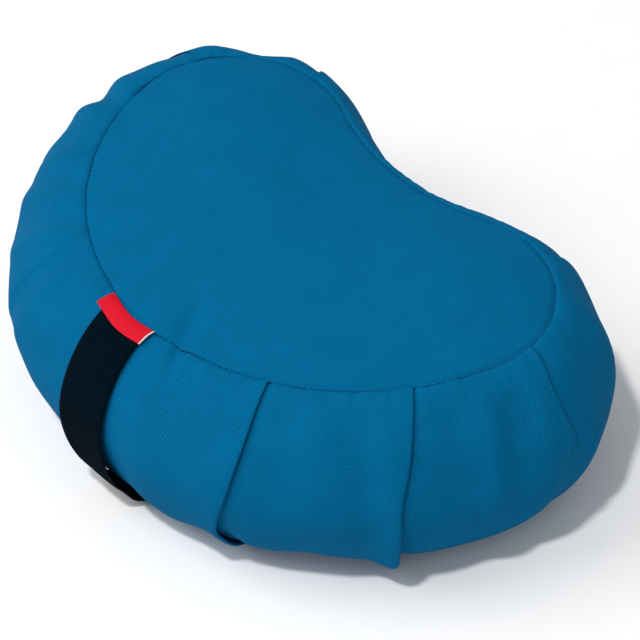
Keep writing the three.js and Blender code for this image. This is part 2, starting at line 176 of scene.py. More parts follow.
def ground_swell(x, y, wavelengths, seed):
    """Smooth noise over a plane, about -1 to 1, from waves in several directions."""
    draws = np.random.default_rng(seed)
    total = np.zeros_like(x)
    for wavelength in wavelengths:
        heading, phase = draws.uniform(0, 2 * np.pi, 2)
        along = x * math.cos(heading) + y * math.sin(heading)
        total += np.sin(2 * np.pi * along / wavelength + phase)
    return total / math.sqrt(len(wavelengths))


# ---- Plan and section ----


def plan_at(s):
    """Place of the seam line, outward direction and share of the way from handle to notch."""
    s = np.mod(s, LOOP)
    mirrored = s > HALF_LOOP
    run = np.where(mirrored, LOOP - s, s)
    on_outer = run < OUTER_LENGTH
    on_lobe = (run < OUTER_LENGTH + LOBE_LENGTH) & ~on_outer
    outer = -np.pi / 2 + run / OUTER_RADIUS
    lobe = OUTER_END + (run - OUTER_LENGTH) / LOBE_RADIUS
    notch = NOTCH_START - (run - OUTER_LENGTH - LOBE_LENGTH) / NOTCH_RADIUS
    arcs = [on_outer, on_lobe]
    angle = np.select(arcs, [outer, lobe], notch)
    radius = np.select(arcs, [OUTER_RADIUS, LOBE_RADIUS], NOTCH_RADIUS)
    centre_x = np.select(arcs, [0.0, LOBE_X], 0.0)
    centre_y = np.select(arcs, [OUTER_ARC_Y, 0.0], NOTCH_ARC_Y)
    outward = np.where(on_outer | on_lobe, 1, -1)
    side = np.where(mirrored, -1, 1)
    near = np.mod(s + HALF_LOOP, LOOP) - HALF_LOOP
    pulled = radius + HANDLE_PULL * bell(near - HANDLE_PULL_S, HANDLE_PULL_WIDTH)
    x = (centre_x + pulled * np.cos(angle)) * side
    y = centre_y + pulled * np.sin(angle) + PLAN_SHIFT
    return x, y, outward * np.cos(angle) * side, outward * np.sin(angle), run / HALF_LOOP


def spine_at(s):
    """The panels' spine point that a seam point faces: a curved line between the lobes' centres."""
    s = np.mod(s, LOOP)
    mirrored = s > HALF_LOOP
    run = np.where(mirrored, LOOP - s, s)
    from_notch = (HALF_LOOP - run) / NOTCH_LENGTH
    share = np.clip(np.minimum(run / OUTER_LENGTH, from_notch), 0, 1)
    return LOBE_X * share * np.where(mirrored, -1, 1), SPINE_Y * (1 - share**2) + PLAN_SHIFT


HANDLE_LINE_Y = float(plan_at(np.array(0.0))[1])


def top_seam_z(x):
    return SEAM_HEIGHT + SEAM_RISE * (x / (LOBE_X + LOBE_RADIUS)) ** 2


SECTION_STEPS = 60
FINE_STEPS = 400
SOFTENING = 4  # steps to each side that a normal is averaged over
TABLE_STATIONS = 720


def section_line(s):
    """One plain section of the band at s, from the base seam to the top seam: reaches and heights."""
    x, y, _, _, share = (float(value) for value in plan_at(np.array(s)))
    dent = HANDLE_DENT * bell(x, HANDLE_DENT_WIDTH) if y < 0 else 0
    widest = float(eased(BULGE, np.array(share))) - dent
    foot = float(eased(FLOOR_REACH, np.array(share)))
    quarter = np.linspace(0, np.pi / 2, SECTION_STEPS)
    cos = np.clip(np.cos(quarter), 0, 1)
    sin = np.sin(quarter)
    low_reach = foot + (widest - foot) * sin ** (2 / LOWER_ROUNDNESS)
    low_z = BASE_LIFT + (WIDEST_HEIGHT - BASE_LIFT) * (1 - cos ** (2 / LOWER_ROUNDNESS))
    high_reach = widest * cos ** (2 / UPPER_ROUNDNESS)
    high_z = WIDEST_HEIGHT + (top_seam_z(x) - WIDEST_HEIGHT) * sin ** (2 / UPPER_ROUNDNESS)
    reach = np.concatenate([[0], low_reach, high_reach[1:]])
    height = np.concatenate([[BASE_LIFT], low_z, high_z[1:]])
    return reach, height


def section_at_shares(s, v):
    """Points of one section at even shares of its length: reach, height and outward normal."""
    reach, height = section_line(s)
    length = np.concatenate([[0], np.cumsum(np.hypot(np.diff(reach), np.diff(height)))])
    fine = np.linspace(0, 1, FINE_STEPS)
    fine_reach = np.interp(fine * length[-1], length, reach)
    fine_height = np.interp(fine * length[-1], length, height)
    along_reach, along_height = np.gradient(fine_reach), np.gradient(fine_height)
    size = np.hypot(along_reach, along_height)
    weights = np.ones(2 * SOFTENING + 1) / (2 * SOFTENING + 1)
    out, up = (
        np.convolve(np.pad(side / size, SOFTENING, "edge"), weights, "valid")
        for side in (along_height, -along_reach)
    )
    return [np.interp(v, fine, side) for side in (fine_reach, fine_height, out, up)], length[-1]


SECTION_LENGTH = section_at_shares(0.0, 1.0)[1]


class BandTable:
    """Sections of the band round the loop, for reading at any s on a fixed list of rows."""

    def __init__(self, rows):
        self.rows = np.array(rows)
        self.stations = np.linspace(0, LOOP, TABLE_STATIONS, endpoint=False)
        read = [section_at_shares(s, self.rows) for s in self.stations]
        self.sides = np.array([sides for sides, _ in read])
        self.height = float(np.mean([length for _, length in read]))

    def points(self, s, lift):
        """Points at s (rows by columns), moved outwards by lift."""
        made = np.empty((*s.shape, 3))
        for row in range(len(self.rows)):
            at = np.mod(s[row], LOOP)
            reach, height, out, up = (
                np.interp(at, self.stations, self.sides[:, side, row], period=LOOP) for side in range(4)
            )
            x, y, out_x, out_y, _ = plan_at(at)
            far = reach + lift[row] * out
            z = np.maximum(height + lift[row] * up, FLOOR_CLEARANCE)
            made[row] = np.stack([x + out_x * far, y + out_y * far, z], -1)
        return made


# ---- Mesh helpers ----


def mesh_object(name, vertices, faces, smooth=True):
    mesh = bpy.data.meshes.new(name)
    plain_faces = faces.tolist() if isinstance(faces, np.ndarray) else faces
    mesh.from_pydata(np.asarray(vertices).tolist(), [], plain_faces)
    mesh.update()
    mesh.polygons.foreach_set("use_smooth", [smooth] * len(mesh.polygons))
    made = bpy.data.objects.new(name, mesh)
    bpy.context.scene.collection.objects.link(made)
    return made


def skin(name, grid, fabric, wrap_rows=False, merge=False):
    """A skin over a grid of points (rows, columns, 3) whose columns go round the plan.

    fabric is the cloth's own flat coordinates in metres, one column (and with wrap_rows one row)
    larger than the grid, because the cloth's coordinates don't close where the mesh does.
    """
    rows, columns = grid.shape[:2]
    index = np.arange(rows * columns).reshape(rows, columns)
    if wrap_rows:
        index = np.vstack([index, index[:1]])
    index = np.hstack([index, index[:, :1]])
    corners = [index[:-1, :-1], index[:-1, 1:], index[1:, 1:], index[1:, :-1]]
    flat = [fabric[:-1, :-1], fabric[:-1, 1:], fabric[1:, 1:], fabric[1:, :-1]]
    faces = np.stack(corners, -1).reshape(-1, 4)
    made = mesh_object(name, grid.reshape(-1, 3), faces)
    layer = made.data.uv_layers.new(name="cloth")
    layer.data.foreach_set("uv", np.stack(flat, 2).reshape(-1).astype(np.float32))
    if merge:
        work = bmesh.new()
        work.from_mesh(made.data)
        bmesh.ops.remove_doubles(work, verts=work.verts, dist=0.02 * MM)
        bmesh.ops.dissolve_degenerate(work, edges=work.edges, dist=0.01 * MM)
        work.to_mesh(made.data)
        work.free()
    return made


def facing_out(piece):
    work = bmesh.new()
    work.from_mesh(piece.data)
    bmesh.ops.recalc_face_normals(work, faces=work.faces)
    work.to_mesh(piece.data)
    work.free()


def strip(name, rows, across, along, lengthwise=False):
    """A closed strip of cloth from rings of points along it, with both ends capped.

    across and along are the cloth's own coordinates. The first one runs along a lengthwise strip.
    """
    caps = [np.broadcast_to(rows[end].mean(0), rows[end].shape) for end in (0, -1)]
    across = np.append(across, across[0])
    along = np.concatenate([along[:1], along, along[-1:]])
    fabric = np.stack(np.broadcast_arrays(across[None, :], along[:, None]), -1)
    if lengthwise:
        fabric = fabric[..., ::-1]
    made = skin(name, np.array([caps[0], *rows, caps[1]]), fabric, merge=True)
    facing_out(made)
    return made


def lay_cloth(piece, flat):
    """Sets the cloth's own coordinates, from one flat place for each vertex."""
    layer = piece.data.uv_layers.new(name="cloth")
    corners = np.empty(len(piece.data.loops), np.int32)
    piece.data.loops.foreach_get("vertex_index", corners)
    layer.data.foreach_set("uv", flat[corners].astype(np.float32).ravel())


def set_material(piece, finish):
    piece.data.materials.clear()
    piece.data.materials.append(finish)


def place(piece, body, finish, slot, *nodes):
    """Rides a finished piece on its body, in its finish, in place of its plain CAD nodes."""
    set_material(piece, finish)
    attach(piece, body)
    if nodes:
        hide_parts(*nodes)
    return piece


# ---- Materials ----


class Value:
    """A number that changes over a surface, with the arithmetic of a shader's Math nodes."""

    def __init__(self, finish, socket):
        self.finish = finish
        self.socket = socket

    def worked(self, operation, *others):
        return self.finish.maths(operation, self, *others)

    def __add__(self, other):
        return self.worked("ADD", other)

    def __sub__(self, other):
        return self.worked("SUBTRACT", other)

    def __mul__(self, other):
        return self.worked("MULTIPLY", other)

    def __rsub__(self, other):
        return self.finish.maths("SUBTRACT", other, self)

    __radd__ = __add__
    __rmul__ = __mul__


class Finish:
    """A material and the one way its nodes are made."""

    def __init__(self, name):
        self.material = bpy.data.materials.new(name)
        self.material.use_nodes = True
        self.tree = self.material.node_tree
        self.tree.nodes.clear()

    def node(self, kind, settings=None, sockets=None, output=0):
        made = self.tree.nodes.new("ShaderNode" + kind)
        for name, value in (settings or {}).items():
            if name == "stops":
                self.set_stops(made.color_ramp, value)
            else:
                setattr(made, name, value)
        for name, value in (sockets or {}).items():
            if isinstance(value, Value):
                self.tree.links.new(value.socket, made.inputs[name])
            else:
                made.inputs[name].default_value = value
        return Value(self, made.outputs[output])

    @staticmethod
    def set_stops(ramp, stops):
        while len(ramp.elements) < len(stops):
            ramp.elements.new(0.5)
        for element, (position, color) in zip(ramp.elements, stops):
            element.position = position
            element.color = color

    def maths(self, operation, *values):
        return self.node("Math", {"operation": operation}, dict(enumerate(values)))

    def sine(self, value):
        return self.maths("SINE", value)

    def noise(self, place, scale, detail=2.0, roughness=0.5):
        sockets = {"Vector": place, "Scale": scale, "Detail": detail, "Roughness": roughness}
        return self.node("TexNoise", {}, sockets)

    def between(self, share, low, high):
        """A colour between two colours."""
        settings = {"data_type": "RGBA", "clamp_factor": True}
        return self.node("Mix", settings, {0: share, 6: low, 7: high}, output=2)

    def parts(self, place):
        split = self.node("SeparateXYZ", {}, {"Vector": place}).socket.node
        return [Value(self, output) for output in split.outputs]

    def cloth_place(self):
        """The fabric's own flat coordinates, in metres."""
        return self.node("UVMap", {"uv_map": "cloth"})

    def object_place(self):
        return self.node("TexCoord", output=3)

    def surface(self, color, roughness, height=None, depth=0.0, **constants):
        """The one shader: a bump of "depth" metres from height, and constants for the rest."""
        sockets = {"Base Color": color, "Roughness": roughness}
        sockets.update({name.replace("_", " "): value for name, value in constants.items()})
        if height is not None:
            bump = {"Height": height, "Distance": depth, "Strength": 1.0}
            sockets["Normal"] = self.node("Bump", {}, bump)
        shader = self.node("BsdfPrincipled", {}, sockets)
        output = self.tree.nodes.new("ShaderNodeOutputMaterial")
        self.tree.links.new(shader.socket, output.inputs["Surface"])
        return self.material


def paint(red, green, blue):
    """A linear colour from red, green and blue between 0 and 255, as a paint chart gives them."""
    shares = [value / 255 for value in (red, green, blue)]
    linear = [
        share / 12.92 if share <= 0.04045 else ((share + 0.055) / 1.055) ** 2.4
        for share in shares
    ]
    return (*linear, 1.0)


def shade(color, factor):
    return (*(value * factor for value in color[:3]), 1.0)


def twill(name, color, pitch, lean, relief=0.07 * MM):
    """Cotton twill: raised diagonal wales over a finer cross thread, a little heathered.

    lean is the wales' angle from the cloth's own u direction, in degrees.
    """
    finish = Finish(name)
    cloth = finish.cloth_place()
    u, v, _ = finish.parts(cloth)
    turn = 2 * math.pi / pitch
    cos, sin = math.cos(math.radians(lean)), math.sin(math.radians(lean))
    wander = finish.noise(cloth, 110.0, 2.0) * 5.0
    across = (v * (cos * turn)) - (u * (sin * turn)) + wander
    along = (u * (cos * turn * 0.55)) + (v * (sin * turn * 0.55))
    wale = finish.sine(across) * 0.5 + 0.5
    thread = finish.sine(along + wale * 2.5) * 0.5 + 0.5
    fuzz = finish.noise(cloth, 900.0, 4.0, 0.75)
    patch = finish.noise(cloth, 34.0, 5.0, 0.65)
    relief_height = wale * 0.65 + thread * 0.2 + fuzz * 0.25
    tone = wale * 0.26 + thread * 0.12 + fuzz * 1.6 + patch * 0.45 - 0.675
    body = finish.between(tone, shade(color, 0.62), shade(color, 1.34))
    roughness = 0.93 - wale * 0.08
    return finish.surface(
        body, roughness, relief_height, relief,
        Specular_IOR_Level=0.03, Sheen_Weight=0.03, Sheen_Roughness=0.5,
        Sheen_Tint=shade(color, 2.0),
    )


def ribbed_webbing(name, color):
    """Heavy webbing: cross ribs, each bound down by a run of warp threads."""
    finish = Finish(name)
    u, v, _ = finish.parts(finish.cloth_place())
    warp = finish.sine(u * (2 * math.pi / WEB_WARP_PITCH))
    rib = finish.sine(v * (2 * math.pi / WEB_RIB_PITCH) + warp * 1.2)
    fuzz = finish.noise(finish.cloth_place(), 1400.0, 3.0, 0.7)
    height = (warp * 0.5 + 0.5) * 0.55 + (rib * 0.5 + 0.5) * 0.35 + fuzz * 0.3
    # The colour follows the ribs' height: painted shade in the hollows between ribs and painted highlights
    # on their raised tops, over a real fuzz of fibres.
    tone = height * 0.6 + fuzz * 0.35
    body = finish.between(tone, shade(color, 0.1), shade(color, 1.8))
    return finish.surface(body, 0.92 - fuzz * 0.1, height, 0.35 * MM, Specular_IOR_Level=0.03)


def satin_ribbon(name, color, end_color, half_width):
    """Woven satin tag: fine floats along its length, and a bound edge in another thread."""
    finish = Finish(name)
    u, v, _ = finish.parts(finish.cloth_place())
    floats = finish.sine(v * (2 * math.pi / (0.45 * MM)))
    cross = finish.sine(u * (2 * math.pi / (0.7 * MM)) + floats * 1.4)
    fuzz = finish.noise(finish.cloth_place(), 1100.0, 2.0)
    height = floats * 0.3 + cross * 0.2 + fuzz * 0.4
    tone = height * 0.5 + 0.4
    body = finish.between(tone, shade(color, 0.82), shade(color, 1.12))
    bound = finish.maths("GREATER_THAN", u, half_width - 0.55 * MM)
    edged = finish.between(bound, body, end_color)
    return finish.surface(edged, 0.55 + fuzz * 0.15, height, 0.05 * MM, Specular_IOR_Level=0.12)


def spun_thread(name, color, twist=0.9 * MM):
    """Sewing thread: plies that wind round it."""
    finish = Finish(name)
    place_at = finish.object_place()
    x, y, z = finish.parts(place_at)
    ply = finish.sine((x + y * 0.8 + z * 1.3) * (2 * math.pi / twist)) * 0.5 + 0.5
    fuzz = finish.noise(place_at, 2500.0, 2.0)
    body = finish.between(ply * 0.6 + fuzz * 0.4, shade(color, 0.6), shade(color, 1.25))
    return finish.surface(body, 0.7 + fuzz * 0.15, ply, 0.08 * MM, Specular_IOR_Level=0.1)


def plain_weave(name, color, pitch, contrast=0.18):
    """Plain weave, such as muslin or zip tape: warp over weft over the cloth's own coordinates."""
    finish = Finish(name)
    cloth = finish.cloth_place()
    u, v, _ = finish.parts(cloth)
    turn = 2 * math.pi / pitch
    warp = finish.sine(u * turn)
    weft = finish.sine(v * turn)
    basket = warp * weft * 0.5 + 0.5
    slub = finish.noise(cloth, 260.0, 4.0, 0.7)
    patch = finish.noise(cloth, 14.0, 2.0)
    tone = basket * 0.45 + slub * 0.4 + patch * 0.2
    body = finish.between(tone, shade(color, 1 - contrast), shade(color, 1 + contrast * 0.5))
    return finish.surface(body, 0.9 - basket * 0.06, basket * 0.7 + slub * 0.5, 0.1 * MM,
                          Specular_IOR_Level=0.2, Sheen_Weight=0.1)


def moulded_nylon(name, color):
    """Drawn nylon of a zip coil: smooth, with faint flow lines and dust."""
    finish = Finish(name)
    place_at = finish.object_place()
    flow = finish.noise(place_at, 700.0, 3.0)
    dust = finish.noise(place_at, 120.0, 3.0)
    body = finish.between(dust, shade(color, 0.85), shade(color, 1.2))
    return finish.surface(body, 0.35 + flow * 0.2, flow, 0.02 * MM, Specular_IOR_Level=0.5)


def cast_nickel(name, color):
    """Plated zinc casting: soft mottling, fine scratches and slightly dull patches."""
    finish = Finish(name)
    place_at = finish.object_place()
    mottle = finish.noise(place_at, 180.0, 4.0, 0.6)
    stretched = finish.node("Mapping", {}, {"Vector": place_at, "Scale": (300.0, 3000.0, 3000.0)})
    scratch = finish.noise(stretched, 1.0, 2.0)
    body = finish.between(mottle, shade(color, 0.8), shade(color, 1.1))
    roughness = mottle * 0.2 + scratch * 0.16 + 0.18
    return finish.surface(body, roughness, mottle * 0.6 + scratch * 0.4, 0.015 * MM, Metallic=1.0)


def buckwheat(name, color):
    """Buckwheat hulls seen as a mass: small dark cells with pale edges."""
    finish = Finish(name)
    place_at = finish.object_place()
    cells = finish.node("TexVoronoi", {"feature": "F1"}, {"Vector": place_at, "Scale": 260.0})
    tint = finish.noise(place_at, 420.0, 2.0)
    body = finish.between(cells * 0.7 + tint * 0.5, shade(color, 1.35), shade(color, 0.45))
    return finish.surface(body, 0.8 - tint * 0.15, 1 - cells, 1.2 * MM, Specular_IOR_Level=0.35)


WEB_RIB_PITCH = 2.3 * MM
WEB_WARP_PITCH = 1.5 * MM
TAG_SIZE = (44 * MM, 12 * MM)

blue = paint(1, 93, 136)
top_twill = twill("blue_twill_top", blue, 1.45 * MM, 4)
band_twill = twill("blue_twill_band", blue, 1.5 * MM, 80)
blue_thread = spun_thread("blue_thread", paint(7, 88, 130))
navy_webbing = ribbed_webbing("navy_webbing", paint(1, 14, 24))
red_satin = satin_ribbon("red_satin_tag", paint(206, 8, 36), paint(240, 232, 232), TAG_SIZE[0] / 2)
navy_tape = plain_weave("navy_zip_tape", paint(11, 52, 78), 0.9 * MM)
navy_nylon = moulded_nylon("navy_zip_nylon", paint(10, 40, 62))
cream_tape = plain_weave("cream_zip_tape", paint(214, 204, 178), 0.9 * MM)
cream_nylon = moulded_nylon("cream_zip_nylon", paint(226, 214, 190))
nickel = cast_nickel("nickel_plate", paint(176, 176, 170))
muslin = plain_weave("liner_muslin", paint(226, 216, 192), 1.1 * MM)
cream_thread = spun_thread("cream_thread", paint(232, 224, 204))
hull_finish = buckwheat("buckwheat_hulls", paint(84, 62, 42))

# ---- Cover: side band with knife pleats ----

BAND_ROWS = 76
COLUMN_PITCH = 2.0 * MM

# The fold of a knife pleat in section: how far along the seam and how far off the band, in
# millimetres, from the layer on top, round the fold's nose, back under it and out again.
FOLD_LINE = [
    (-24, 0.0), (-17, 0.35), (-10, 1.2), (-5, 2.1), (-1.8, 2.5), (-0.5, 2.3), (-0.15, 1.9),
    (-0.6, 1.45), (-2.5, 1.3), (-7, 1.1), (-10.5, 0.95), (-11.4, 0.7), (-10.9, 0.35), (-8, 0.15),
    (-3.5, -0.1), (-0.8, -0.65), (0.9, -0.95), (3.2, -0.6), (7, -0.1), (13, 0.0),
]
FOLD_COLUMNS = 46

# Every pleat: the route of its folded edge up the band as (v, s in millimetres), how deep it is
# there as (v, share of the full fold), and how far it stands open as (v, share).
PLEATS = [
    {
        "edge": [
            (0, 93), (0.18, 90), (0.30, 87), (0.36, 84.5), (0.45, 86), (0.56, 90), (0.71, 94), (1, 98),
        ],
        "depth": [(0, 1.0), (1, 1.0)],
        "stand": [(0, 0.5), (0.22, 1.6), (0.32, 1.9), (0.45, 1.15), (0.75, 0.95), (1, 0.4)],
    },
    {
        "edge": [(0, 179), (0.2, 176), (0.45, 175), (0.61, 176), (0.72, 180), (0.86, 184), (1, 188)],
        "depth": [(0, 1.0), (1, 1.0)],
        "stand": [
            (0, 0.4), (0.1, 0.9), (0.2, 2.3), (0.28, 2.7), (0.42, 2.0), (0.55, 1.2), (0.8, 0.9), (1, 0.35),
        ],
    },
    {
        "edge": [(0, 268), (0.4, 266), (0.61, 266), (0.72, 264), (0.87, 265), (1, 274)],
        "depth": [(0, 0.6), (0.2, 0.15), (0.48, 0.0), (0.56, 0.3), (0.63, 1.0), (0.9, 1.0), (1, 0.7)],
        "stand": [(0, 0.5), (0.5, 0.6), (0.63, 1.9), (0.76, 1.3), (0.9, 0.9), (1, 0.35)],
    },
    {
        "edge": [(0, 352), (0.5, 356), (1, 362)],
        "depth": [(0, 0.7), (0.5, 0.9), (0.9, 0.9), (1, 0.4)],
        "stand": [(0, 0.6), (0.3, 1.3), (0.7, 0.9), (1, 0.35)],
    },
    {
        "edge": [(0, -94), (0.4, -88), (0.63, -85), (0.78, -80), (0.88, -80), (0.94, -82), (1, -86)],
        "depth": [(0, 0.3), (0.35, 0.18), (0.6, 0.27), (0.85, 0.3), (1, 0.25)],
        "stand": [(0, 0.8), (0.35, 1.6), (0.6, 1.5), (0.85, 1.3), (1, 0.6)],
    },
    {
        "edge": [(0, -190), (0.5, -184), (1, -188)],
        "depth": [(0, 0.4), (0.4, 0.3), (0.75, 0.25), (1, 0.25)],
        "stand": [(0, 0.8), (0.3, 2.0), (0.7, 2.2), (1, 0.6)],
    },
    {
        "edge": [(0, -278), (0.5, -273), (1, -282)],
        "depth": [(0, 0.7), (0.4, 0.9), (0.8, 0.8), (1, 0.5)],
        "stand": [(0, 0.6), (0.3, 1.4), (0.7, 0.9), (1, 0.4)],
    },
    {
        "edge": [(0, -366), (0.5, -358), (1, -368)],
        "depth": [(0, 0.7), (0.5, 0.9), (0.9, 0.9), (1, 0.4)],
        "stand": [(0, 0.6), (0.3, 1.2), (0.7, 0.9), (1, 0.35)],
    },
]

# Soft creases of the band: from (s in millimetres, v) to (s, v), half width and rise in
# millimetres. A crease with a negative rise is a valley.
BAND_CREASES = [
    ((-60, 1.00), (-49, 0.92), 3.5, -1.5),
    ((-53, 0.99), (-43, 0.90), 4.0, 1.0),
    ((-38, 1.00), (-35, 0.95), 2.6, -1.3),
    ((-64, 0.98), (-58, 0.78), 5.0, -1.6),
    ((-66, 0.80), (-74, 0.45), 9.0, 1.4),
    ((33, 1.02), (41, 0.86), 5.0, -3.4),
    ((48, 0.97), (50, 0.84), 6.0, -1.3),
    ((40, 0.97), (44, 0.86), 4.0, 1.0),
    ((44, 0.84), (40, 0.70), 8.0, -1.2),
    ((64, 0.98), (66, 0.86), 8.0, 0.9),
    ((-92, 0.97), (-130, 0.55), 6.5, 2.2),
    ((-104, 0.97), (-146, 0.60), 7.5, -2.6),
    ((-118, 0.98), (-162, 0.60), 8.0, 2.6),
    ((-76, 0.95), (-90, 0.55), 6.5, -2.4),
    ((-140, 0.97), (-178, 0.68), 7.0, -2.4),
    ((-160, 0.93), (-184, 0.60), 8.0, 3.0),
    ((-204, 0.95), (-226, 0.66), 8.0, 3.0),
    ((-216, 0.99), (-240, 0.70), 7.0, -2.4),
    ((-234, 0.98), (-254, 0.70), 8.0, 2.6),
    ((-300, 0.99), (-290, 0.72), 11.0, 2.6),
    ((-330, 0.98), (-322, 0.70), 12.0, -2.2),
    ((-352, 0.99), (-344, 0.74), 10.0, 2.0),
    ((170, 0.96), (168, 0.55), 8.0, 1.8),
    ((172, 0.50), (170, 0.10), 7.0, 2.6),
    ((157, 0.80), (160, 0.30), 10.0, -2.0),
    ((132, 0.90), (138, 0.45), 16.0, 1.0),
    ((116, 0.96), (112, 0.60), 11.0, -0.8),
    ((205, 0.92), (210, 0.25), 12.0, -2.8),
    ((226, 0.90), (222, 0.35), 7.0, 1.8),
    ((240, 0.86), (234, 0.30), 7.0, -2.6),
    ((256, 0.97), (250, 0.40), 6.0, 2.2),
    ((268, 0.58), (262, 0.20), 7.0, -1.4),
    ((282, 0.60), (272, 0.22), 8.0, 1.8),
    ((292, 0.88), (300, 0.50), 12.0, -1.4),
    ((318, 0.95), (308, 0.45), 12.0, 1.6),
    ((338, 0.94), (330, 0.50), 11.0, -1.6),
    ((392, 0.95), (398, 0.40), 13.0, -1.6),
    ((420, 0.92), (424, 0.45), 12.0, 1.2),
    ((452, 0.95), (448, 0.50), 12.0, -1.0),
    ((-404, 0.95), (-400, 0.40), 13.0, -1.6),
    ((-436, 0.92), (-440, 0.45), 12.0, 1.2),
    ((-466, 0.95), (-462, 0.50), 12.0, -1.0),
    ((20, 0.30), (60, 0.16), 10.0, 1.2),
    ((-30, 0.28), (-70, 0.12), 10.0, 1.2),
    ((120, 0.22), (150, 0.14), 9.0, -1.2),
]

# Wavelengths and heights of the puckers beside the seams and of the lumps between them.
PUCKER_WAVES = [7.5 * MM, 11 * MM, 17 * MM, 26 * MM]
TOP_PUCKER = 0.32 * MM
TOP_PUCKER_WIDTH = 12 * MM
BASE_PUCKER = 0.8 * MM
BASE_PUCKER_WIDTH = 14 * MM
LUMP_WAVES = [48 * MM, 60 * MM, 75 * MM, 96 * MM, 130 * MM]
LUMP_HEIGHT = 0.7 * MM
CROSS_LUMP_HEIGHT = 0.45 * MM
SEAM_ROLL = 0.7 * MM
SEAM_ROLL_WIDTH = 1.4 * MM

SHELTER = (24 * MM, 33 * MM)
SHELTER_SINK = 0.3 * MM
PLEAT_SWAY = (25 * MM, 62 * MM)  # a pleat's slant carries the cloth beside it this far
ROW_CROWDING = 0.045
INNER_STEP = 5
BAND_BACKING = COVER_THICKNESS + 0.3 * MM

# How the cloth's edges turn into the seams, as (outwards, up) in millimetres.
BAND_TOP_TUCK = [(-0.35, -0.3), (-0.95, -1.2)]
BAND_BASE_TUCK = [(-2.6, 0.6), (-1.0, 0.15)]
PANEL_TUCK = [(0.65, -1.2), (0.5, -0.3)]


def fold_profile(count):
    """The folded line of a pleat, spaced evenly along itself, and the flat line that it came from."""
    points = np.array(FOLD_LINE) * MM
    length = np.concatenate([[0], np.cumsum(np.hypot(*np.diff(points, axis=0).T))])
    even = np.linspace(0, length[-1], count)
    along = np.array([through(list(zip(length, side)), even) for side in points.T])
    flat = np.linspace(points[0, 0], points[-1, 0], count)
    return along[0], along[1], flat


def crease_lift(s, v, length, creases):
    """Height of soft creases at s and v, where s is unwrapped to run from -HALF_LOOP."""
    total = np.zeros_like(s)
    for (s0, v0), (s1, v1), width, rise in creases:
        start = np.array([s0 * MM, v0 * length])
        run = np.array([s1 * MM, v1 * length]) - start
        away = np.mod(s - start[0] + HALF_LOOP, LOOP) - HALF_LOOP
        up = v * length - start[1]
        share = (away * run[0] + up * run[1]) / (run @ run)
        off = np.hypot(away - np.clip(share, 0, 1) * run[0], up - np.clip(share, 0, 1) * run[1])
        fade = smoothstep(-0.25, 0.3, share) * smoothstep(1.35, 0.6, share)
        total += rise * MM * bell(off, width * MM) * fade
    return total


def handle_shelter(s):
    """1 where the handle lies close over the band, so that nothing of the band rises there."""
    near = np.abs(np.mod(s + HALF_LOOP, LOOP) - HALF_LOOP)
    return smoothstep(SHELTER[1], SHELTER[0], near)


def band_lift(s, v, length):
    """How far the cover's band stands off its plain section, apart from its pleats."""
    seam_top = bell((1 - v) * length, TOP_PUCKER_WIDTH)
    seam_base = bell(v * length, BASE_PUCKER_WIDTH)
    pucker = loop_ripple(s, PUCKER_WAVES, SEED)
    low_pucker = loop_ripple(s, PUCKER_WAVES, SEED + 1)
    lumps = loop_ripple(s + v * 0.05, LUMP_WAVES, SEED + 2) * np.sin(np.pi * v)
    cross = loop_ripple(s - v * 0.16, LUMP_WAVES[:3], SEED + 3) * np.sin(2 * np.pi * v)
    lift = TOP_PUCKER * pucker * seam_top + BASE_PUCKER * low_pucker * seam_base
    lift += LUMP_HEIGHT * lumps + CROSS_LUMP_HEIGHT * cross
    lift += crease_lift(s, v, length, BAND_CREASES)
    roll = SEAM_ROLL * bell((1 - v) * length, SEAM_ROLL_WIDTH)
    sheltered = handle_shelter(s)
    return lift * (1 - sheltered) - SHELTER_SINK * sheltered - roll


def pleat_columns():
    """Columns round the band: each is a plain s, or a place along one pleat's fold."""
    spans = []
    for pleat in PLEATS:
        middle = through(pleat["edge"], np.array([1.0]))[0] * MM
        spans.append((middle + FOLD_LINE[0][0] * MM, middle + FOLD_LINE[-1][0] * MM, pleat))
    spans.sort(key=lambda span: span[0])
    columns = []
    for number, (start, end, pleat) in enumerate(spans):
        after = spans[number + 1][0] if number + 1 < len(spans) else spans[0][0] + LOOP
        columns += [(None, pleat, i) for i in range(FOLD_COLUMNS)]
        count = max(2, round((after - end) / COLUMN_PITCH))
        columns += [(end + (after - end) * i / count, None, 0) for i in range(1, count)]
    return columns


def band_grid(rows):
    """s and the pleats' lift on every row and column of the cover's band."""
    rows = np.array(rows)
    columns = pleat_columns()
    fold_s, fold_lift, flat_s = fold_profile(FOLD_COLUMNS)
    s = np.empty((len(rows), len(columns)))
    lift = np.zeros_like(s)
    tops = {id(pleat): through(pleat["edge"], np.array([1.0]))[0] * MM for pleat in PLEATS}
    routes = {id(pleat): through(pleat["edge"], rows) * MM for pleat in PLEATS}
    for number, (plain, pleat, step) in enumerate(columns):
        if pleat is None:
            column = np.full(len(rows), plain)
        else:
            depth = np.clip(through(pleat["depth"], rows), 0, 1)
            stand = through(pleat["stand"], rows)
            column = routes[id(pleat)] + flat_s[step] + (fold_s[step] - flat_s[step]) * depth
            lift[:, number] = fold_lift[step] * depth * stand
        for other in PLEATS:
            if other is pleat:
                continue
            at = plain if pleat is None else tops[id(pleat)] + flat_s[step]
            away = abs(math.remainder(at - tops[id(other)], LOOP))
            drift = routes[id(other)] - tops[id(other)]
            column = column + drift * float(smoothstep(PLEAT_SWAY[1], PLEAT_SWAY[0], away))
        s[:, number] = column
    return s, lift


def tucked(outer_row, direction_x, direction_y, steps):
    """Rows that turn an edge into a seam: steps are (outwards, up) from the edge."""
    made = []
    for out, up in steps:
        moved = outer_row.copy()
        moved[:, 0] += direction_x * out * MM
        moved[:, 1] += direction_y * out * MM
        moved[:, 2] += up * MM
        made.append(moved)
    return made


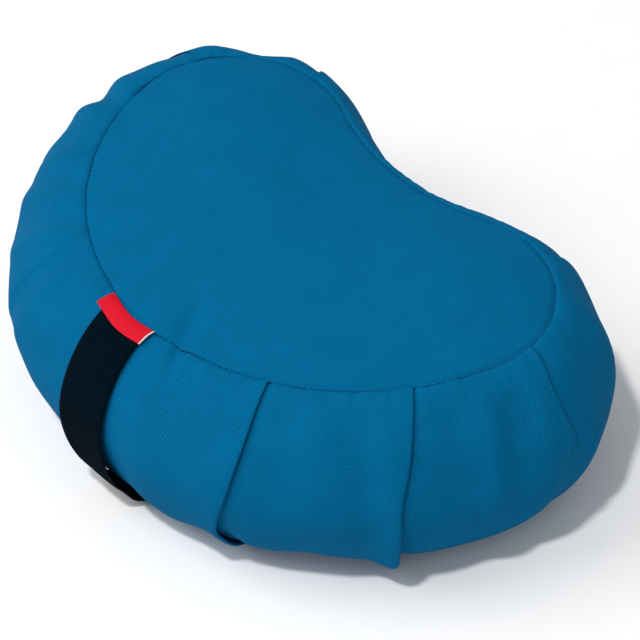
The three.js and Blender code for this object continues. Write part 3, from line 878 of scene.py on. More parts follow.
def make_cover_band():
    even = np.linspace(0, 1, BAND_ROWS)
    rows = even - ROW_CROWDING * np.sin(2 * np.pi * even)
    table = BandTable(rows)
    s, fold = band_grid(rows)
    v = rows[:, None] + np.zeros_like(s)
    lift = fold + band_lift(s, v, table.height)
    outer = table.points(s, lift)
    inner_rows = rows[::INNER_STEP]
    inner_lift = np.minimum(lift[::INNER_STEP], 0) - BAND_BACKING
    inner = BandTable(inner_rows).points(s[::INNER_STEP], inner_lift)
    _, _, out_x, out_y, _ = plan_at(s[-1])
    top_tuck = tucked(outer[-1], out_x, out_y, BAND_TOP_TUCK)
    _, _, base_x, base_y, _ = plan_at(s[0])
    base_tuck = tucked(outer[0], base_x, base_y, BAND_BASE_TUCK)
    grid = np.array([*base_tuck, *outer, *top_tuck, *inner[::-1]])
    flat_v = np.concatenate([
        [-1.5 * MM, -0.5 * MM],
        rows * table.height,
        [table.height + 0.5 * MM, table.height + 1.4 * MM],
        table.height * (2 - inner_rows[::-1]),
    ])
    return band_skin("cover_band", grid, flat_v)


def band_skin(name, grid, flat_v):
    """The closed skin of a band, with the cloth's length along the seam as u and up it as v."""
    ring = grid[len(grid) // 3, :, :2]
    pitch = np.hypot(*np.diff(np.vstack([ring, ring[:1]]), axis=0).T)
    flat_u = np.concatenate([[0], np.cumsum(pitch)])
    fabric = np.empty((len(grid) + 1, grid.shape[1] + 1, 2))
    fabric[..., 0] = flat_u[None, :]
    fabric[..., 1] = np.append(flat_v, flat_v[-1] + 1 * MM)[:, None]
    return skin(name, grid, fabric, wrap_rows=True)


# ---- Top panel ----

ARC_COLUMNS = 84
PANEL_ROWS = 46
PANEL_BACKING = COVER_THICKNESS + 0.9 * MM
PANEL_SWELL = 0.9 * MM
PANEL_SWELL_WAVES = [70 * MM, 85 * MM, 104 * MM, 120 * MM, 150 * MM]
PANEL_PUCKER = 0.22 * MM
PANEL_PUCKER_WIDTH = 8 * MM

# Creases of the top panel: from (x, y) to (x, y), half width and rise, in millimetres.
PANEL_CREASES = [
    ((31, -103), (16, -66), 6.5, -3.2),
    ((43, -99), (32, -74), 8.0, 1.1),
    ((-44, -97), (-34, -74), 8.0, -0.6),
    ((96, -74), (84, -50), 10.0, -0.6),
    ((150, -20), (126, -8), 10.0, -0.7),
    ((-132, -44), (-108, -30), 11.0, -0.7),
    ((-172, 36), (-140, 40), 10.0, -0.6),
]


def panel_stations():
    """Places along the seam for a panel's columns: as many on the outer arcs as at the notch."""
    outer = np.linspace(0, OUTER_LENGTH, ARC_COLUMNS, endpoint=False)
    lobe = OUTER_LENGTH + np.linspace(0, LOBE_LENGTH, ARC_COLUMNS, endpoint=False)
    notch = HALF_LOOP - NOTCH_LENGTH + np.linspace(0, NOTCH_LENGTH, ARC_COLUMNS, endpoint=False)
    half = np.concatenate([outer, lobe, notch])
    return np.concatenate([half, [HALF_LOOP], LOOP - half[:0:-1]])


def panel_plan(s, shares):
    """x, y and the distance from the edge at shares of the way from a panel's edge to its spine."""
    x, y, out_x, out_y, _ = plan_at(s)
    spine_x, spine_y = spine_at(s)
    edge_x, edge_y = x - out_x * PANEL_EDGE, y - out_y * PANEL_EDGE
    share = np.array(shares)[:, None]
    across = np.hypot(spine_x - edge_x, spine_y - edge_y)
    return edge_x + (spine_x - edge_x) * share, edge_y + (spine_y - edge_y) * share, across * share


def flat_crease_lift(x, y, creases):
    total = np.zeros_like(x)
    for (x0, y0), (x1, y1), width, rise in creases:
        start = np.array([x0, y0]) * MM
        run = np.array([x1, y1]) * MM - start
        share = ((x - start[0]) * run[0] + (y - start[1]) * run[1]) / (run @ run)
        held = np.clip(share, 0, 1)
        off = np.hypot(x - start[0] - held * run[0], y - start[1] - held * run[1])
        total += rise * MM * bell(off, width * MM) * smoothstep(1.4, 0.4, share)
    return total


def panel_height(x, share):
    return top_seam_z(x) + CROWN * (1 - (1 - share) ** 2)


def panel_dip(x, y):
    """The valleys of the top panel's creases, which the layers below it follow."""
    return np.minimum(flat_crease_lift(x, y, PANEL_CREASES), 0)


def make_cover_top():
    s = panel_stations()
    shares = np.linspace(0, 1, PANEL_ROWS) ** 1.7
    x, y, inwards = panel_plan(s, shares)
    share = shares[:, None]
    z = panel_height(x, share)
    pucker = loop_ripple(s[None, :] + 0 * x, PUCKER_WAVES, SEED)
    z += PANEL_SWELL * ground_swell(x, y, PANEL_SWELL_WAVES, SEED + 5) * share**0.5
    z += PANEL_PUCKER * pucker * bell(inwards, PANEL_PUCKER_WIDTH)
    z += flat_crease_lift(x, y, PANEL_CREASES)
    z -= SEAM_ROLL * bell(inwards, SEAM_ROLL_WIDTH)
    outer = np.stack([x, y, z], -1)
    under_shares = shares[::4]
    under_x, under_y, _ = panel_plan(s, under_shares)
    under_z = panel_height(under_x, under_shares[:, None]) + panel_dip(under_x, under_y) - PANEL_BACKING
    under = np.stack([under_x, under_y, under_z], -1)
    _, _, out_x, out_y, _ = plan_at(s)
    tuck = tucked(outer[0], out_x, out_y, PANEL_TUCK)
    grid = np.array([*under[::-1], *tuck, *outer])
    return panel_skin("cover_top", grid)


def panel_skin(name, grid):
    """A panel's closed skin. The cloth lies flat in plan, so x and y are its own coordinates."""
    fabric = np.concatenate([grid[..., :2], grid[:, :1, :2]], axis=1)
    return skin(name, grid, fabric, merge=True)


# ---- Camera, light and floor ----

CAMERA_AT = Vector((1.0602, -0.8587, 1.4346))
CAMERA_AIM = Vector((0.0105, 0.0342, 0.0491))
LENS = 164.4
FILM_WIDTH = 36

WORLD_STRENGTH = 0.46
FLOOR_HALF = 6.0

# Each light's direction, distance, width and power.
LIGHTS = {
    "key": ((0.06, -0.4, 1.0), 5.0, 0.4, 118),
    "left_window": ((-0.55, -0.6, 0.85), 3.5, 2.6, 54),
}


def make_camera():
    data = bpy.data.cameras.new("camera")
    data.lens = LENS
    data.sensor_width = FILM_WIDTH
    camera = bpy.data.objects.new("camera", data)
    bpy.context.scene.collection.objects.link(camera)
    camera.location = CAMERA_AT
    camera.rotation_mode = "QUATERNION"
    camera.rotation_quaternion = (CAMERA_AIM - CAMERA_AT).to_track_quat("-Z", "Y")
    bpy.context.scene.camera = camera


def soft_box(name, towards, distance, size, power):
    data = bpy.data.lights.new(name, "AREA")
    data.shape = "DISK"
    data.size = size
    data.energy = power
    light = bpy.data.objects.new(name, data)
    bpy.context.scene.collection.objects.link(light)
    direction = Vector(towards).normalized()
    light.location = direction * distance
    light.rotation_mode = "QUATERNION"
    light.rotation_quaternion = direction.to_track_quat("Z", "Y")


def make_studio():
    world = bpy.data.worlds.new("studio")
    world.use_nodes = True
    background = world.node_tree.nodes["Background"]
    background.inputs["Color"].default_value = (1.0, 1.0, 1.0, 1.0)
    background.inputs["Strength"].default_value = WORLD_STRENGTH
    bpy.context.scene.world = world
    for name, light in LIGHTS.items():
        soft_box(name, *light)
    corners = [(x * FLOOR_HALF, y * FLOOR_HALF, 0) for x, y in ((-1, -1), (1, -1), (1, 1), (-1, 1))]
    floor = mesh_object("floor", corners, [(0, 1, 2, 3)], False)
    finish = Finish("studio_floor")
    grain = finish.noise(finish.object_place(), 40.0, 3.0)
    tone = finish.between(grain, (0.9, 0.9, 0.9, 1), (0.93, 0.93, 0.93, 1))
    set_material(floor, finish.surface(tone, 0.9, grain, 0.02 * MM, Specular_IOR_Level=0.1))
    floor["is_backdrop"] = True
    bpy.context.scene.view_settings.view_transform = "Standard"


# ---- Stitches and zip teeth: one tree that repeats an item along a path ----


def repeating_tree():
    tree = bpy.data.node_groups.new("repeat_along_path", "GeometryNodeTree")
    sockets = [
        ("Path", "NodeSocketGeometry"),
        ("Spacing", "NodeSocketFloat"),
        ("Item", "NodeSocketObject"),
        ("Finish", "NodeSocketMaterial"),
        ("Unevenness", "NodeSocketFloat"),
        ("Seed", "NodeSocketInt"),
    ]
    for name, kind in sockets:
        tree.interface.new_socket(name, in_out="INPUT", socket_type=kind)
    tree.interface.new_socket("Items", in_out="OUTPUT", socket_type="NodeSocketGeometry")

    def node(kind, settings=None, links=None):
        made = tree.nodes.new(kind)
        for name, value in (settings or {}).items():
            setattr(made, name, value)
        for name, value in (links or {}).items():
            if isinstance(value, bpy.types.NodeSocket):
                tree.links.new(value, made.inputs[name])
            else:
                made.inputs[name].default_value = value
        return made

    given = node("NodeGroupInput").outputs
    curve = node("GeometryNodeMeshToCurve", {}, {"Mesh": given["Path"]})
    spaced = {"Curve": curve.outputs["Curve"], "Length": given["Spacing"]}
    points = node("GeometryNodeResampleCurve", {"mode": "LENGTH"}, spaced)
    tangent = node("GeometryNodeInputTangent")
    outward = node("GeometryNodeInputNamedAttribute", {"data_type": "FLOAT_VECTOR"}, {"Name": "outward"})
    ahead = {"Vector": tangent.outputs["Tangent"]}
    turned = node("FunctionNodeAlignRotationToVector", {"axis": "X"}, ahead)
    raised = {"Rotation": turned.outputs["Rotation"], "Vector": outward.outputs["Attribute"]}
    upright = node("FunctionNodeAlignRotationToVector", {"axis": "Z", "pivot_axis": "X"}, raised)
    smallest = node("ShaderNodeMath", {"operation": "SUBTRACT"}, {0: 1.0, 1: given["Unevenness"]})
    sizes = {"Min": smallest.outputs[0], "Max": 1.0, "Seed": given["Seed"]}
    size = node("FunctionNodeRandomValue", {"data_type": "FLOAT"}, {})
    for socket in size.inputs:
        if socket.enabled and socket.name in ("Min", "Max", "Seed"):
            value = sizes[socket.name]
            if isinstance(value, bpy.types.NodeSocket):
                tree.links.new(value, socket)
            else:
                socket.default_value = value
    number = next(socket for socket in size.outputs if socket.enabled)
    item = node("GeometryNodeObjectInfo", {}, {"Object": given["Item"]})
    copies = {
        "Points": points.outputs["Curve"],
        "Instance": item.outputs["Geometry"],
        "Rotation": upright.outputs["Rotation"],
        "Scale": number,
    }
    placed = node("GeometryNodeInstanceOnPoints", {}, copies)
    real = node("GeometryNodeRealizeInstances", {}, {"Geometry": placed.outputs["Instances"]})
    finish = {"Geometry": real.outputs["Geometry"], "Material": given["Finish"]}
    finished = node("GeometryNodeSetMaterial", {}, finish)
    result = node("NodeGroupOutput")
    tree.links.new(finished.outputs["Geometry"], result.inputs["Items"])
    return tree


REPEAT = repeating_tree()


def repeated(name, path, outward, item, spacing, finish, closed=False, unevenness=0.0):
    """A plain mesh of copies of an item, evenly spaced along a path of points."""
    path = np.asarray(path)
    edges = [(i, i + 1) for i in range(len(path) - 1)]
    if closed:
        edges.append((len(path) - 1, 0))
    mesh = bpy.data.meshes.new(name + "_path")
    mesh.from_pydata(path.tolist(), edges, [])
    directions = mesh.attributes.new("outward", "FLOAT_VECTOR", "POINT")
    spread = np.broadcast_to(np.asarray(outward, np.float32), path.shape)
    directions.data.foreach_set("vector", np.ascontiguousarray(spread, np.float32).ravel())
    carrier = bpy.data.objects.new(name + "_path", mesh)
    bpy.context.scene.collection.objects.link(carrier)
    modifier = carrier.modifiers.new("repeat", "NODES")
    modifier.node_group = REPEAT
    values = {
        "Spacing": spacing,
        "Item": item,
        "Finish": finish,
        "Unevenness": unevenness,
        "Seed": SEED,
    }
    for socket in REPEAT.interface.items_tree:
        if socket.in_out == "INPUT" and socket.name in values:
            modifier[socket.identifier] = values[socket.name]
    bpy.context.view_layer.update()
    evaluated = carrier.evaluated_get(bpy.context.evaluated_depsgraph_get())
    made = bpy.data.objects.new(name, bpy.data.meshes.new_from_object(evaluated))
    made.data.polygons.foreach_set("use_smooth", [True] * len(made.data.polygons))
    bpy.context.scene.collection.objects.link(made)
    bpy.data.objects.remove(carrier)
    return made


def rounded_item(name, size, roundness=2.0, bow=0.0, around=10, along=7):
    """A small rounded item along X: a superellipsoid, bowed upwards in its middle."""
    work = bmesh.new()
    bmesh.ops.create_uvsphere(work, u_segments=around, v_segments=along, radius=1.0)
    turn = Matrix.Rotation(math.pi / 2, 3, "Y")
    for vertex in work.verts:
        spot = turn @ vertex.co
        power = 2.0 / roundness
        spot = Vector(math.copysign(abs(value) ** power, value) for value in spot)
        rise = bow * (1 - spot.x**2)
        vertex.co = Vector((spot.x * size[0] / 2, spot.y * size[1] / 2, spot.z * size[2] / 2 + rise))
    bmesh.ops.recalc_face_normals(work, faces=work.faces)
    mesh = bpy.data.meshes.new(name)
    work.to_mesh(mesh)
    work.free()
    return bpy.data.objects.new(name, mesh)


SEAM_STATIONS = 900
SEAM_LINE = -PANEL_EDGE / 2
SEAM_PITCH = 4.3 * MM
SEAM_STITCH = (1.7 * MM, 1.5 * MM, 1.0 * MM)
SEAM_UNEVENNESS = 0.25
TOP_STITCH_SINK = 0.85 * MM
BASE_STITCH_SINK = 1.0 * MM


def make_seam(label, v, height_at, stitch, pitch, thread, unevenness=0.0):
    """Stitches round the whole seam that is v of the way up the band, at a height for each x."""
    s = np.linspace(0, LOOP, SEAM_STATIONS, endpoint=False)
    x, y, out_x, out_y, _ = plan_at(s)
    sag = np.minimum(crease_lift(s, v, SECTION_LENGTH, BAND_CREASES), 0) * (1 - handle_shelter(s))
    path = np.stack([x + out_x * SEAM_LINE, y + out_y * SEAM_LINE, height_at(x) + sag], -1)
    outward = (0, 0, 1 if v == 1 else -1)
    made = repeated(f"{label}_stitches", path, outward, stitch, pitch, thread, True, unevenness)
    layer = label.split("_")[0]
    place(made, "cushion", thread, f"{layer}_thread", f"{label}_seam_thread")


def make_cover_seams():
    stitch = rounded_item("seam_stitch", SEAM_STITCH, 2.4, 0.15 * MM)
    kind = (stitch, SEAM_PITCH, blue_thread, SEAM_UNEVENNESS)
    make_seam("cover_top", 1, lambda x: top_seam_z(x) - TOP_STITCH_SINK, *kind)
    make_seam("cover_base", 0, lambda x: BASE_LIFT - BASE_STITCH_SINK, *kind)


# ---- Handle: ribbed webbing in two lengths that meet in the hand ----

WEB_WIDTH = 38 * MM
WEB_THICKNESS = 1.6 * MM
WEB_GAP = 0.5 * MM
WEB_ENDS = (0.006, 0.985)
WEB_MEETING = 0.5
WEB_ROWS = 420
WEB_COLUMNS = 25

# The webbing's shallow forms: across its width, along its length, at its ribs and near the floor.
WEB_TWIST = -1.8 * MM
WEB_WAVE = 0.5 * MM
WEB_WAVE_ACROSS = 2.4
WEB_WAVE_ALONG = 55
WEB_CRUMPLE = 0.9 * MM
WEB_RIB_RELIEF = 0.16 * MM
WEB_SCALLOP = 0.5 * MM
WEB_OFF_FLOOR = 0.25 * MM
WEB_SKIN_OFF_FLOOR = 0.15 * MM

# The hanging webbing, as (share of its length from the top seam, millimetres): how far it stands
# off the band, and where its middle line lies along X.
WEB_STANDOFF = [
    (0, 0), (0.07, 0.1), (0.15, 0.8), (0.3, 1.6), (0.46, 3), (0.62, 4.2), (0.78, 3.4), (0.9, 1.9), (1, 0),
]
WEB_LEAN = [(0, -7), (0.35, -2), (0.7, 6.5), (0.85, 9.5), (1, 10)]


def web_line(share):
    """The webbing's middle line: reach, height and outward direction at shares of its length."""
    (reach, height, out, up), length = section_at_shares(0.0, 1 - share)
    slack = through(WEB_STANDOFF, share) * MM
    crumple = bell(share - 0.83, 0.022) - bell(share - 0.765, 0.028) + 0.7 * bell(share - 0.9, 0.02)
    lift = WEB_GAP + WEB_THICKNESS / 2 + slack + WEB_CRUMPLE * crumple
    middle = np.maximum(height + up * lift, WEB_THICKNESS / 2 + WEB_OFF_FLOOR)
    return reach + out * lift, middle, length


def web_section():
    """The webbing's section: places across it, and how full it is there on each face."""
    across = np.linspace(-1, 1, WEB_COLUMNS)
    face = np.sign(across) * np.abs(across) ** 0.9
    edge = np.sqrt(np.clip(1 - np.abs(face) ** 14, 0, 1))
    return np.concatenate([face, face[::-1]]), np.concatenate([edge, -edge[::-1]])


def make_webbing(name, start, stop):
    share = np.linspace(start, stop, round(WEB_ROWS * (stop - start)))
    reach, height, length = web_line(share)
    along = share * length
    along_reach, along_height = np.gradient(reach), np.gradient(height)
    size = np.hypot(along_reach, along_height)
    out, up = -along_height / size, along_reach / size
    across, fullness = web_section()
    rib = np.sin(2 * np.pi * along / WEB_RIB_PITCH)[:, None]
    scallop = WEB_SCALLOP * (rib * 0.5 + 0.5) * (np.abs(across) > 0.97)
    thickness = (WEB_THICKNESS / 2 + WEB_RIB_RELIEF * rib) * fullness
    loose = np.sin(np.pi * share)[:, None]
    wave = WEB_WAVE * np.sin(across * WEB_WAVE_ACROSS + along[:, None] * WEB_WAVE_ALONG) * loose
    lift = thickness + wave + WEB_TWIST * across * loose
    middle_x = through(WEB_LEAN, share)[:, None] * MM
    x = middle_x + across * WEB_WIDTH / 2 + np.sign(across) * scallop
    y = HANDLE_LINE_Y - (reach[:, None] + lift * out[:, None])
    z = np.maximum(height[:, None] + lift * up[:, None], WEB_SKIN_OFF_FLOOR)
    return strip(name, np.stack([x, y, z], -1), across * WEB_WIDTH / 2, along)


def web_point(share):
    reach, height, _ = (np.ravel(value)[0] for value in web_line(np.array([share])))
    return (WEB_LEAN[0][1] * MM, HANDLE_LINE_Y - reach, height)


def make_handle():
    upper = make_webbing("handle_webbing_upper", WEB_ENDS[0], WEB_MEETING)
    lower = make_webbing("handle_webbing_lower", WEB_MEETING, WEB_ENDS[1])
    for piece in (upper, lower):
        set_material(piece, navy_webbing)
    web_point(0.1)
    web_point(0.44)
    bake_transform(upper)
    web_point(0.91)
    web_point(0.56)
    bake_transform(lower)
    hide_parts("handle_top_end", "handle_strap")
    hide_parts("handle_base_end")


# ---- Tag: a folded ribbon over the handle's top end ----

TAG_X = -8 * MM
TAG_THICKNESS = 1.0 * MM
TAG_LAYER = 0.42 * MM
TAG_LIFT = 3.0 * MM
TAG_ROWS = 15
TAG_COLUMNS = 61

# The tag's free left end stands out and leans, it waves along its length, and it dips to the seam.
TAG_FLARE = 2.2 * MM
TAG_SKEW = 0.16
TAG_WAVE = 0.35 * MM
TAG_WAVE_ALONG = 5.2
TAG_DIP = 1.2 * MM
TAG_DIP_WIDTH = 3 * MM

# The fold at the lower edge, as (below the layers' ends, off the middle) in millimetres.
TAG_FOLD = [(0.25, 0.416), (0.32, 0.0), (0.25, -0.416)]
TAG_FOLD_INSIDE = 0.3 * MM
TAG_START = 0.4 * MM


def tag_section():
    """Two layers of ribbon joined by the fold: how far down from the seam, and off the middle."""
    drop = TAG_SIZE[1]
    half = TAG_THICKNESS / 2
    slit = half - TAG_LAYER
    down = np.linspace(TAG_START, drop, TAG_ROWS)
    fold = [(drop + below * MM, off * MM) for below, off in TAG_FOLD]
    outer = [(d, half) for d in down] + fold + [(d, -half) for d in down[::-1]]
    inner = [(d, -slit) for d in down[:-1]] + [(drop - TAG_FOLD_INSIDE, 0.0)]
    inner += [(d, slit) for d in down[-2::-1]]
    return np.array(outer + inner).T


def make_tag():
    down, off = tag_section()
    along = np.linspace(-1, 1, TAG_COLUMNS)
    reach, height, out, up = section_at_shares(0.0, 1 - down / SECTION_LENGTH)[0]
    hang = down / TAG_SIZE[1]
    wave = TAG_WAVE * np.sin(along * TAG_WAVE_ALONG)[:, None] * hang
    flare = TAG_FLARE * smoothstep(-0.55, -1.0, along)[:, None] * hang
    lift = TAG_LIFT + off + wave + flare - TAG_DIP * bell(down, TAG_DIP_WIDTH)
    skew = TAG_SKEW * (down - TAG_SIZE[1] / 2) * smoothstep(-0.5, -1.0, along)[:, None]
    x = TAG_X + along[:, None] * TAG_SIZE[0] / 2 - skew
    _, seam_y, _, _, _ = plan_at(x)
    rows = np.stack([x, seam_y - reach - out * lift, height + up * lift], -1)
    index = np.arange(rows[..., 0].size).reshape(x.shape)
    following = np.roll(index, -1, 1)
    faces = np.stack([index[:-1], following[:-1], following[1:], index[1:]], -1).reshape(-1, 4).tolist()
    faces += [index[0][::-1].tolist(), index[-1].tolist()]
    made = mesh_object("tag_ribbon", rows.reshape(-1, 3), faces)
    flat = [np.repeat(along, len(down)) * TAG_SIZE[0] / 2, np.tile(down, len(along))]
    lay_cloth(made, np.stack(flat, -1))
    facing_out(made)
    return made


# ---- Bases: two halves that meet over a zip, raised in a channel ----

ZIP_Y = (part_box("cover_zip_coil_front")[0].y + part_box("cover_zip_coil_rear")[1].y) / 2
WINDOW_HALF = (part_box("cover_zip_bottom_stop")[0].x * -1 + 1 * MM, 6.5 * MM)
BASE_STATIONS = 520
BASE_MEETING = 0.15 * MM
MEETING_CLEARANCE = 0.4 * MM
MEETING_POINTS = 16
BASE_GRID = 4.2 * MM
BASE_GRID_X = (-180 * MM, 180 * MM)
BASE_GRID_Y = (-110 * MM, 130 * MM)
BASE_SWELL = 0.45 * MM
BASE_SWELL_WAVES = [34 * MM, 46 * MM, 60 * MM, 90 * MM]
COVER_BASE_BOTTOM = 0.15 * MM
COVER_BASE_THICKNESS = 0.8 * MM

# The channels over the zips: half length and half width in millimetres, at the foot and at the top.
COVER_HOOD = ((146, 22), (138, 14))
LINER_HOOD = ((154, 30), (143, 19))


def hood_at(x, y, foot, top):
    """0 at a hood's foot to 1 over its flat top."""
    ends = smoothstep(foot[0] * MM, top[0] * MM, np.abs(x))
    return ends * smoothstep(foot[1] * MM, top[1] * MM, np.abs(y - ZIP_Y))


def base_outline(side):
    """A base half's outline, with a window beside the zip: -1 is the front half and 1 the rear."""
    s = np.linspace(0, LOOP, BASE_STATIONS, endpoint=False)
    x, y, out_x, out_y, _ = plan_at(s)
    x, y = x - out_x * PANEL_EDGE, y - out_y * PANEL_EDGE
    meeting = ZIP_Y + side * BASE_MEETING
    kept = (y - meeting) * side > MEETING_CLEARANCE
    first = np.flatnonzero(kept & ~np.roll(kept, 1))[0]
    order = [(first + i) % len(s) for i in range(kept.sum())]
    rim = [(x[i], y[i]) for i in order]
    window_x, window_y = WINDOW_HALF
    window_x *= math.copysign(1, rim[-1][0])
    recess = [(turn * window_x, ZIP_Y + side * window_y) for turn in (1, -1)]
    before = [(px, meeting) for px in np.linspace(rim[-1][0], window_x, MEETING_POINTS)]
    after = [(px, meeting) for px in np.linspace(-window_x, rim[0][0], MEETING_POINTS)]
    return rim + before + recess + after


def make_base(name, side, bottom, thickness, hood, hood_top):
    outline = base_outline(side)
    xs, ys = np.arange(*BASE_GRID_X, BASE_GRID), np.arange(*BASE_GRID_Y, BASE_GRID)
    inside = [Vector((px, py)) for px in xs for py in ys]
    points = [Vector(point) for point in outline] + inside
    loop = list(range(len(outline)))
    verts, _, faces, _, _, _ = delaunay_2d_cdt(points, [], [loop], 1, 1e-5)
    flat = np.array([list(v) for v in verts])
    rise = hood_at(flat[:, 0], flat[:, 1], *hood)
    sway = ground_swell(flat[:, 0], flat[:, 1], BASE_SWELL_WAVES, SEED + 8)
    under = bottom + rise * (hood_top - bottom - thickness) + BASE_SWELL * (sway + 1) * (1 - rise)
    made = mesh_object(name, np.column_stack([flat, under]), faces)
    work = bmesh.new()
    work.from_mesh(made.data)
    bmesh.ops.delete(work, geom=[v for v in work.verts if not v.link_faces], context="VERTS")
    bmesh.ops.recalc_face_normals(work, faces=work.faces)
    if sum(face.normal.z for face in work.faces) > 0:
        bmesh.ops.reverse_faces(work, faces=work.faces)
    work.to_mesh(made.data)
    work.free()
    lay_cloth(made, np.array([vertex.co.xy for vertex in made.data.vertices]))
    wall = made.modifiers.new("wall", "SOLIDIFY")
    wall.thickness = thickness
    wall.offset = -1
    return made


# ---- Zips ----

TAPE_ROWS = 161
TAPE_COLUMNS = 9
TAPE_FULLNESS = 0.85
TAPE_WAVE = 0.12 * MM
TAPE_WAVE_ALONG = 160
TAPE_WAVE_ACROSS = 1.3
TEETH_PITCH = 1.45 * MM
TOOTH_WIDTH = 1.2 * MM
COIL_END = 1 * MM
ZIP_STITCH = (2.7 * MM, 0.7 * MM, 0.6 * MM)
ZIP_STITCH_PITCH = 3.5 * MM


def make_tape(name, node):
    """Woven tape: thin, with a rounded edge and a slight wave along it."""
    low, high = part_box(node)
    middle = (low + high) / 2
    along = np.linspace(low.x, high.x, TAPE_ROWS)
    across = np.linspace(-1, 1, TAPE_COLUMNS)
    edge = np.sqrt(1 - np.abs(across) ** 6)
    ring_y = np.concatenate([across, across[-2:0:-1]])
    ring_z = np.concatenate([-edge, edge[-2:0:-1]]) * (high.z - low.z) / 2 * TAPE_FULLNESS
    flat_y = ring_y * (high.y - low.y) / 2
    wave = TAPE_WAVE * np.sin(along[:, None] * TAPE_WAVE_ALONG + ring_y * TAPE_WAVE_ACROSS)
    rows = np.stack(np.broadcast_arrays(along[:, None], middle.y + flat_y, middle.z + ring_z + wave), -1)
    return strip(name, rows, flat_y, along, lengthwise=True)


def middle_line(node, inset=(0.0, 0.0)):
    """Two points along X through the middle of a node's box, the insets in from its ends."""
    low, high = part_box(node)
    middle = (low + high) / 2
    return [(low.x + inset[0], middle.y, middle.z), (high.x - inset[1], middle.y, middle.z)]


def make_zip(prefix, tape_slot, coil_slot, tape_finish, coil_finish, thread_finish):
    for side in ("front", "rear"):
        tape_node = f"{prefix}_zip_tape_{side}"
        place(make_tape(f"{prefix}_tape_{side}", tape_node), "cushion", tape_finish, tape_slot, tape_node)
        coil_node = f"{prefix}_zip_coil_{side}"
        low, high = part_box(coil_node)
        tooth = rounded_item("coil_turn", (TOOTH_WIDTH, high.y - low.y, high.z - low.z), 2.6)
        shift = TEETH_PITCH / 2 if side == "rear" else 0.0
        line = middle_line(coil_node, (COIL_END + shift, COIL_END))
        coil = repeated(f"{prefix}_coil_{side}", line, (0, 0, -1), tooth, TEETH_PITCH, coil_finish)
        place(coil, "cushion", coil_finish, coil_slot, coil_node)
        stitch_node = f"{prefix}_zip_stitch_{side}"
        stitch = rounded_item("zip_stitch", ZIP_STITCH, 2.4, 0.1 * MM)
        row = repeated(
            f"{prefix}_zip_stitching_{side}", middle_line(stitch_node), (0, 0, -1), stitch,
            ZIP_STITCH_PITCH, thread_finish, unevenness=0.15,
        )
        place(row, "cushion", thread_finish, f"{prefix}_thread", stitch_node)


def finish_metal():
    """The sliders, pull and stops keep their own shape, with their edges rolled."""
    metal = [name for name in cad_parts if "_stop" in name or "_slider" in name or "_pull" in name]
    for name in metal:
        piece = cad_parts[name]
        set_material(piece, nickel)
        weld = piece.modifiers.new("weld", "WELD")
        weld.merge_threshold = 0.01 * MM
        bevel = piece.modifiers.new("rolled_edges", "BEVEL")
        bevel.width = 0.22 * MM
        bevel.segments = 2
        bevel.limit_method = "ANGLE"
        bevel.angle_limit = math.radians(35)


# ---- Liner and fill ----

LINER_COLUMNS = 420
LINER_BAND_ROWS = 41
LINER_TOP_ROWS = 26
LINER_RIPPLE = 0.25 * MM
LINER_BAND_SLACK = 0.15 * MM
LINER_TOP_SLACK = 0.2 * MM
LINER_STITCH = (2.6 * MM, 0.7 * MM, 0.6 * MM)
LINER_STITCH_PITCH = 3.4 * MM
LINER_STITCH_RISE = 0.35 * MM

FILL_SLACK = 0.3 * MM
FILL_RIPPLE = 0.4 * MM
FILL_GROOVE = ((158, 33), (147, 21))
FILL_GROOVE_TOP = 18.2 * MM
FILL_BASE_ROWS = 22
FILL_SIDE_ROWS = 90
FILL_TOP_ROWS = 40
HULL_BUMP = 0.35 * MM
HULL_WAVES = 6
HULL_FINENESS = 520


def plain_band_rows(inset, rows, ripple, seed):
    """Rings of a band without pleats, a depth under the cover's skin."""
    table = BandTable(rows)
    s = np.linspace(0, LOOP, LINER_COLUMNS, endpoint=False)[None, :] + np.zeros((len(rows), 1))
    v = np.array(rows)[:, None]
    dip = np.minimum(crease_lift(s, v, table.height, BAND_CREASES), 0) * (1 - handle_shelter(s))
    gather = loop_ripple(s, PUCKER_WAVES, seed) * (bell(v, 0.12) + bell(1 - v, 0.12))
    swell = loop_ripple(s + v * 0.04, LUMP_WAVES, seed + 1) * np.sin(np.pi * v)
    return table.points(s, ripple * (0.5 * gather + 0.5 * swell) - inset + dip), table.height


def panel_rows(s, shares, inset):
    """Rings of a plain top panel, a depth under the cover's skin."""
    x, y, _ = panel_plan(s, shares)
    return np.stack([x, y, panel_height(x, shares[:, None]) + panel_dip(x, y) - inset], -1)


def make_liner_band():
    rows = np.linspace(0, 1, LINER_BAND_ROWS)
    outer, height = plain_band_rows(LINER_INSET + LINER_BAND_SLACK, rows, LINER_RIPPLE, SEED + 20)
    inner, _ = plain_band_rows(LINER_INSET + LINER_THICKNESS, rows[::4], 0.0, SEED + 20)
    grid = np.array([*outer, *inner[::-1]])
    flat_v = np.concatenate([rows * height, height * (2 - rows[::-4])])
    return band_skin("liner_band", grid, flat_v)


def make_liner_top():
    s = panel_stations()
    shares = np.linspace(0, 1, LINER_TOP_ROWS) ** 1.5
    _, _, inwards = panel_plan(s, shares)
    outer = panel_rows(s, shares, LINER_INSET + LINER_TOP_SLACK)
    gather = loop_ripple(s[None, :] + 0 * inwards, PUCKER_WAVES, SEED + 22)
    outer[..., 2] += LINER_RIPPLE * gather * bell(inwards, 10 * MM)
    under = panel_rows(s, shares[::5], LINER_INSET + LINER_THICKNESS)
    return panel_skin("liner_top", np.array([*under[::-1], *outer]))


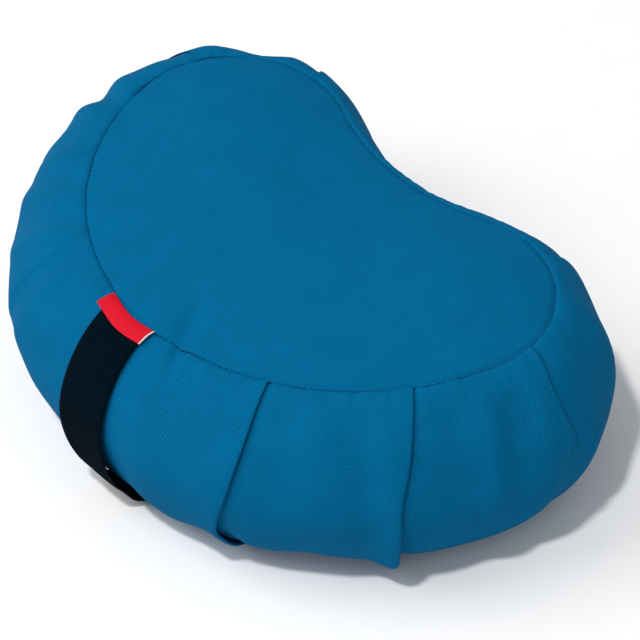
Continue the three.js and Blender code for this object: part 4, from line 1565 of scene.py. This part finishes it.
def make_liner_seams():
    stitch = rounded_item("liner_stitch", LINER_STITCH, 2.4, 0.1 * MM)
    top_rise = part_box("liner_top_seam_thread")[0].z - top_seam_z(0.0) + LINER_STITCH_RISE
    base_low, base_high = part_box("liner_base_seam_thread")
    kind = (stitch, LINER_STITCH_PITCH, cream_thread)
    make_seam("liner_top", 1, lambda x: top_seam_z(x) + top_rise, *kind)
    make_seam("liner_base", 0, lambda x: (base_low.z + base_high.z) / 2, *kind)


def make_fill():
    """The loose hulls as one settled mass, grooved over the zips, its skin bumpy with hulls."""
    s = np.linspace(0, LOOP, LINER_COLUMNS, endpoint=False)
    base_x, base_y, _ = panel_plan(s, np.linspace(1, 0, FILL_BASE_ROWS))
    groove = hood_at(base_x, base_y, *FILL_GROOVE)
    base = np.stack([base_x, base_y, FILL_INSET + groove * (FILL_GROOVE_TOP - FILL_INSET)], -1)
    side_shares = np.linspace(0.02, 0.99, FILL_SIDE_ROWS)
    side, _ = plain_band_rows(FILL_INSET + FILL_SLACK, side_shares, FILL_RIPPLE, SEED + 30)
    top = panel_rows(s, np.linspace(0, 1, FILL_TOP_ROWS), FILL_INSET + FILL_SLACK)
    made = panel_skin("hull_mass", np.array([*base, *side, *top]))
    spots = np.array([vertex.co for vertex in made.data.vertices])
    normals = np.array([vertex.normal for vertex in made.data.vertices])
    bumps = np.zeros(len(spots))
    for wave in range(HULL_WAVES):
        heading = np.random.default_rng(SEED + wave).normal(size=3) * HULL_FINENESS
        bumps += np.sin(spots @ heading + wave)
    spots -= normals * HULL_BUMP * (1 + bumps[:, None] / HULL_WAVES)
    made.data.vertices.foreach_set("co", spots.astype(np.float32).ravel())
    made.data.update()
    return made


# ---- Assembly ----

make_camera()
make_studio()

place(make_cover_band(), "cushion", band_twill, "cover_fabric", "cover_side_band")
place(make_cover_top(), "cushion", top_twill, "cover_fabric", "cover_top_panel")
for side, label in ((-1, "front"), (1, "rear")):
    node = f"cover_base_{label}"
    hood_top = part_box(node)[1].z
    panel = make_base(
        f"cover_underside_{label}", side, COVER_BASE_BOTTOM, COVER_BASE_THICKNESS, COVER_HOOD, hood_top
    )
    place(panel, "cushion", top_twill, "cover_fabric", node)
    node = f"liner_base_{label}"
    low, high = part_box(node)
    panel = make_base(f"liner_underside_{label}", side, low.z, LINER_THICKNESS, LINER_HOOD, high.z)
    place(panel, "cushion", muslin, "liner_fabric", node)
make_cover_seams()
make_handle()
place(make_tag(), "tag", red_satin, "tag_fabric", "woven_tag")
make_zip("cover", "zip_tape", "zip_coil", navy_tape, navy_nylon, blue_thread)
make_zip("liner", "liner_tape", "liner_coil", cream_tape, cream_nylon, cream_thread)
finish_metal()
place(make_liner_band(), "cushion", muslin, "liner_fabric", "liner_side_band")
place(make_liner_top(), "cushion", muslin, "liner_fabric", "liner_top_panel")
make_liner_seams()
hull_mass = place(make_fill(), "cushion", hull_finish, "hulls", "hull_fill")

# ---- Sizes of the finished model ----

low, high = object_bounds()
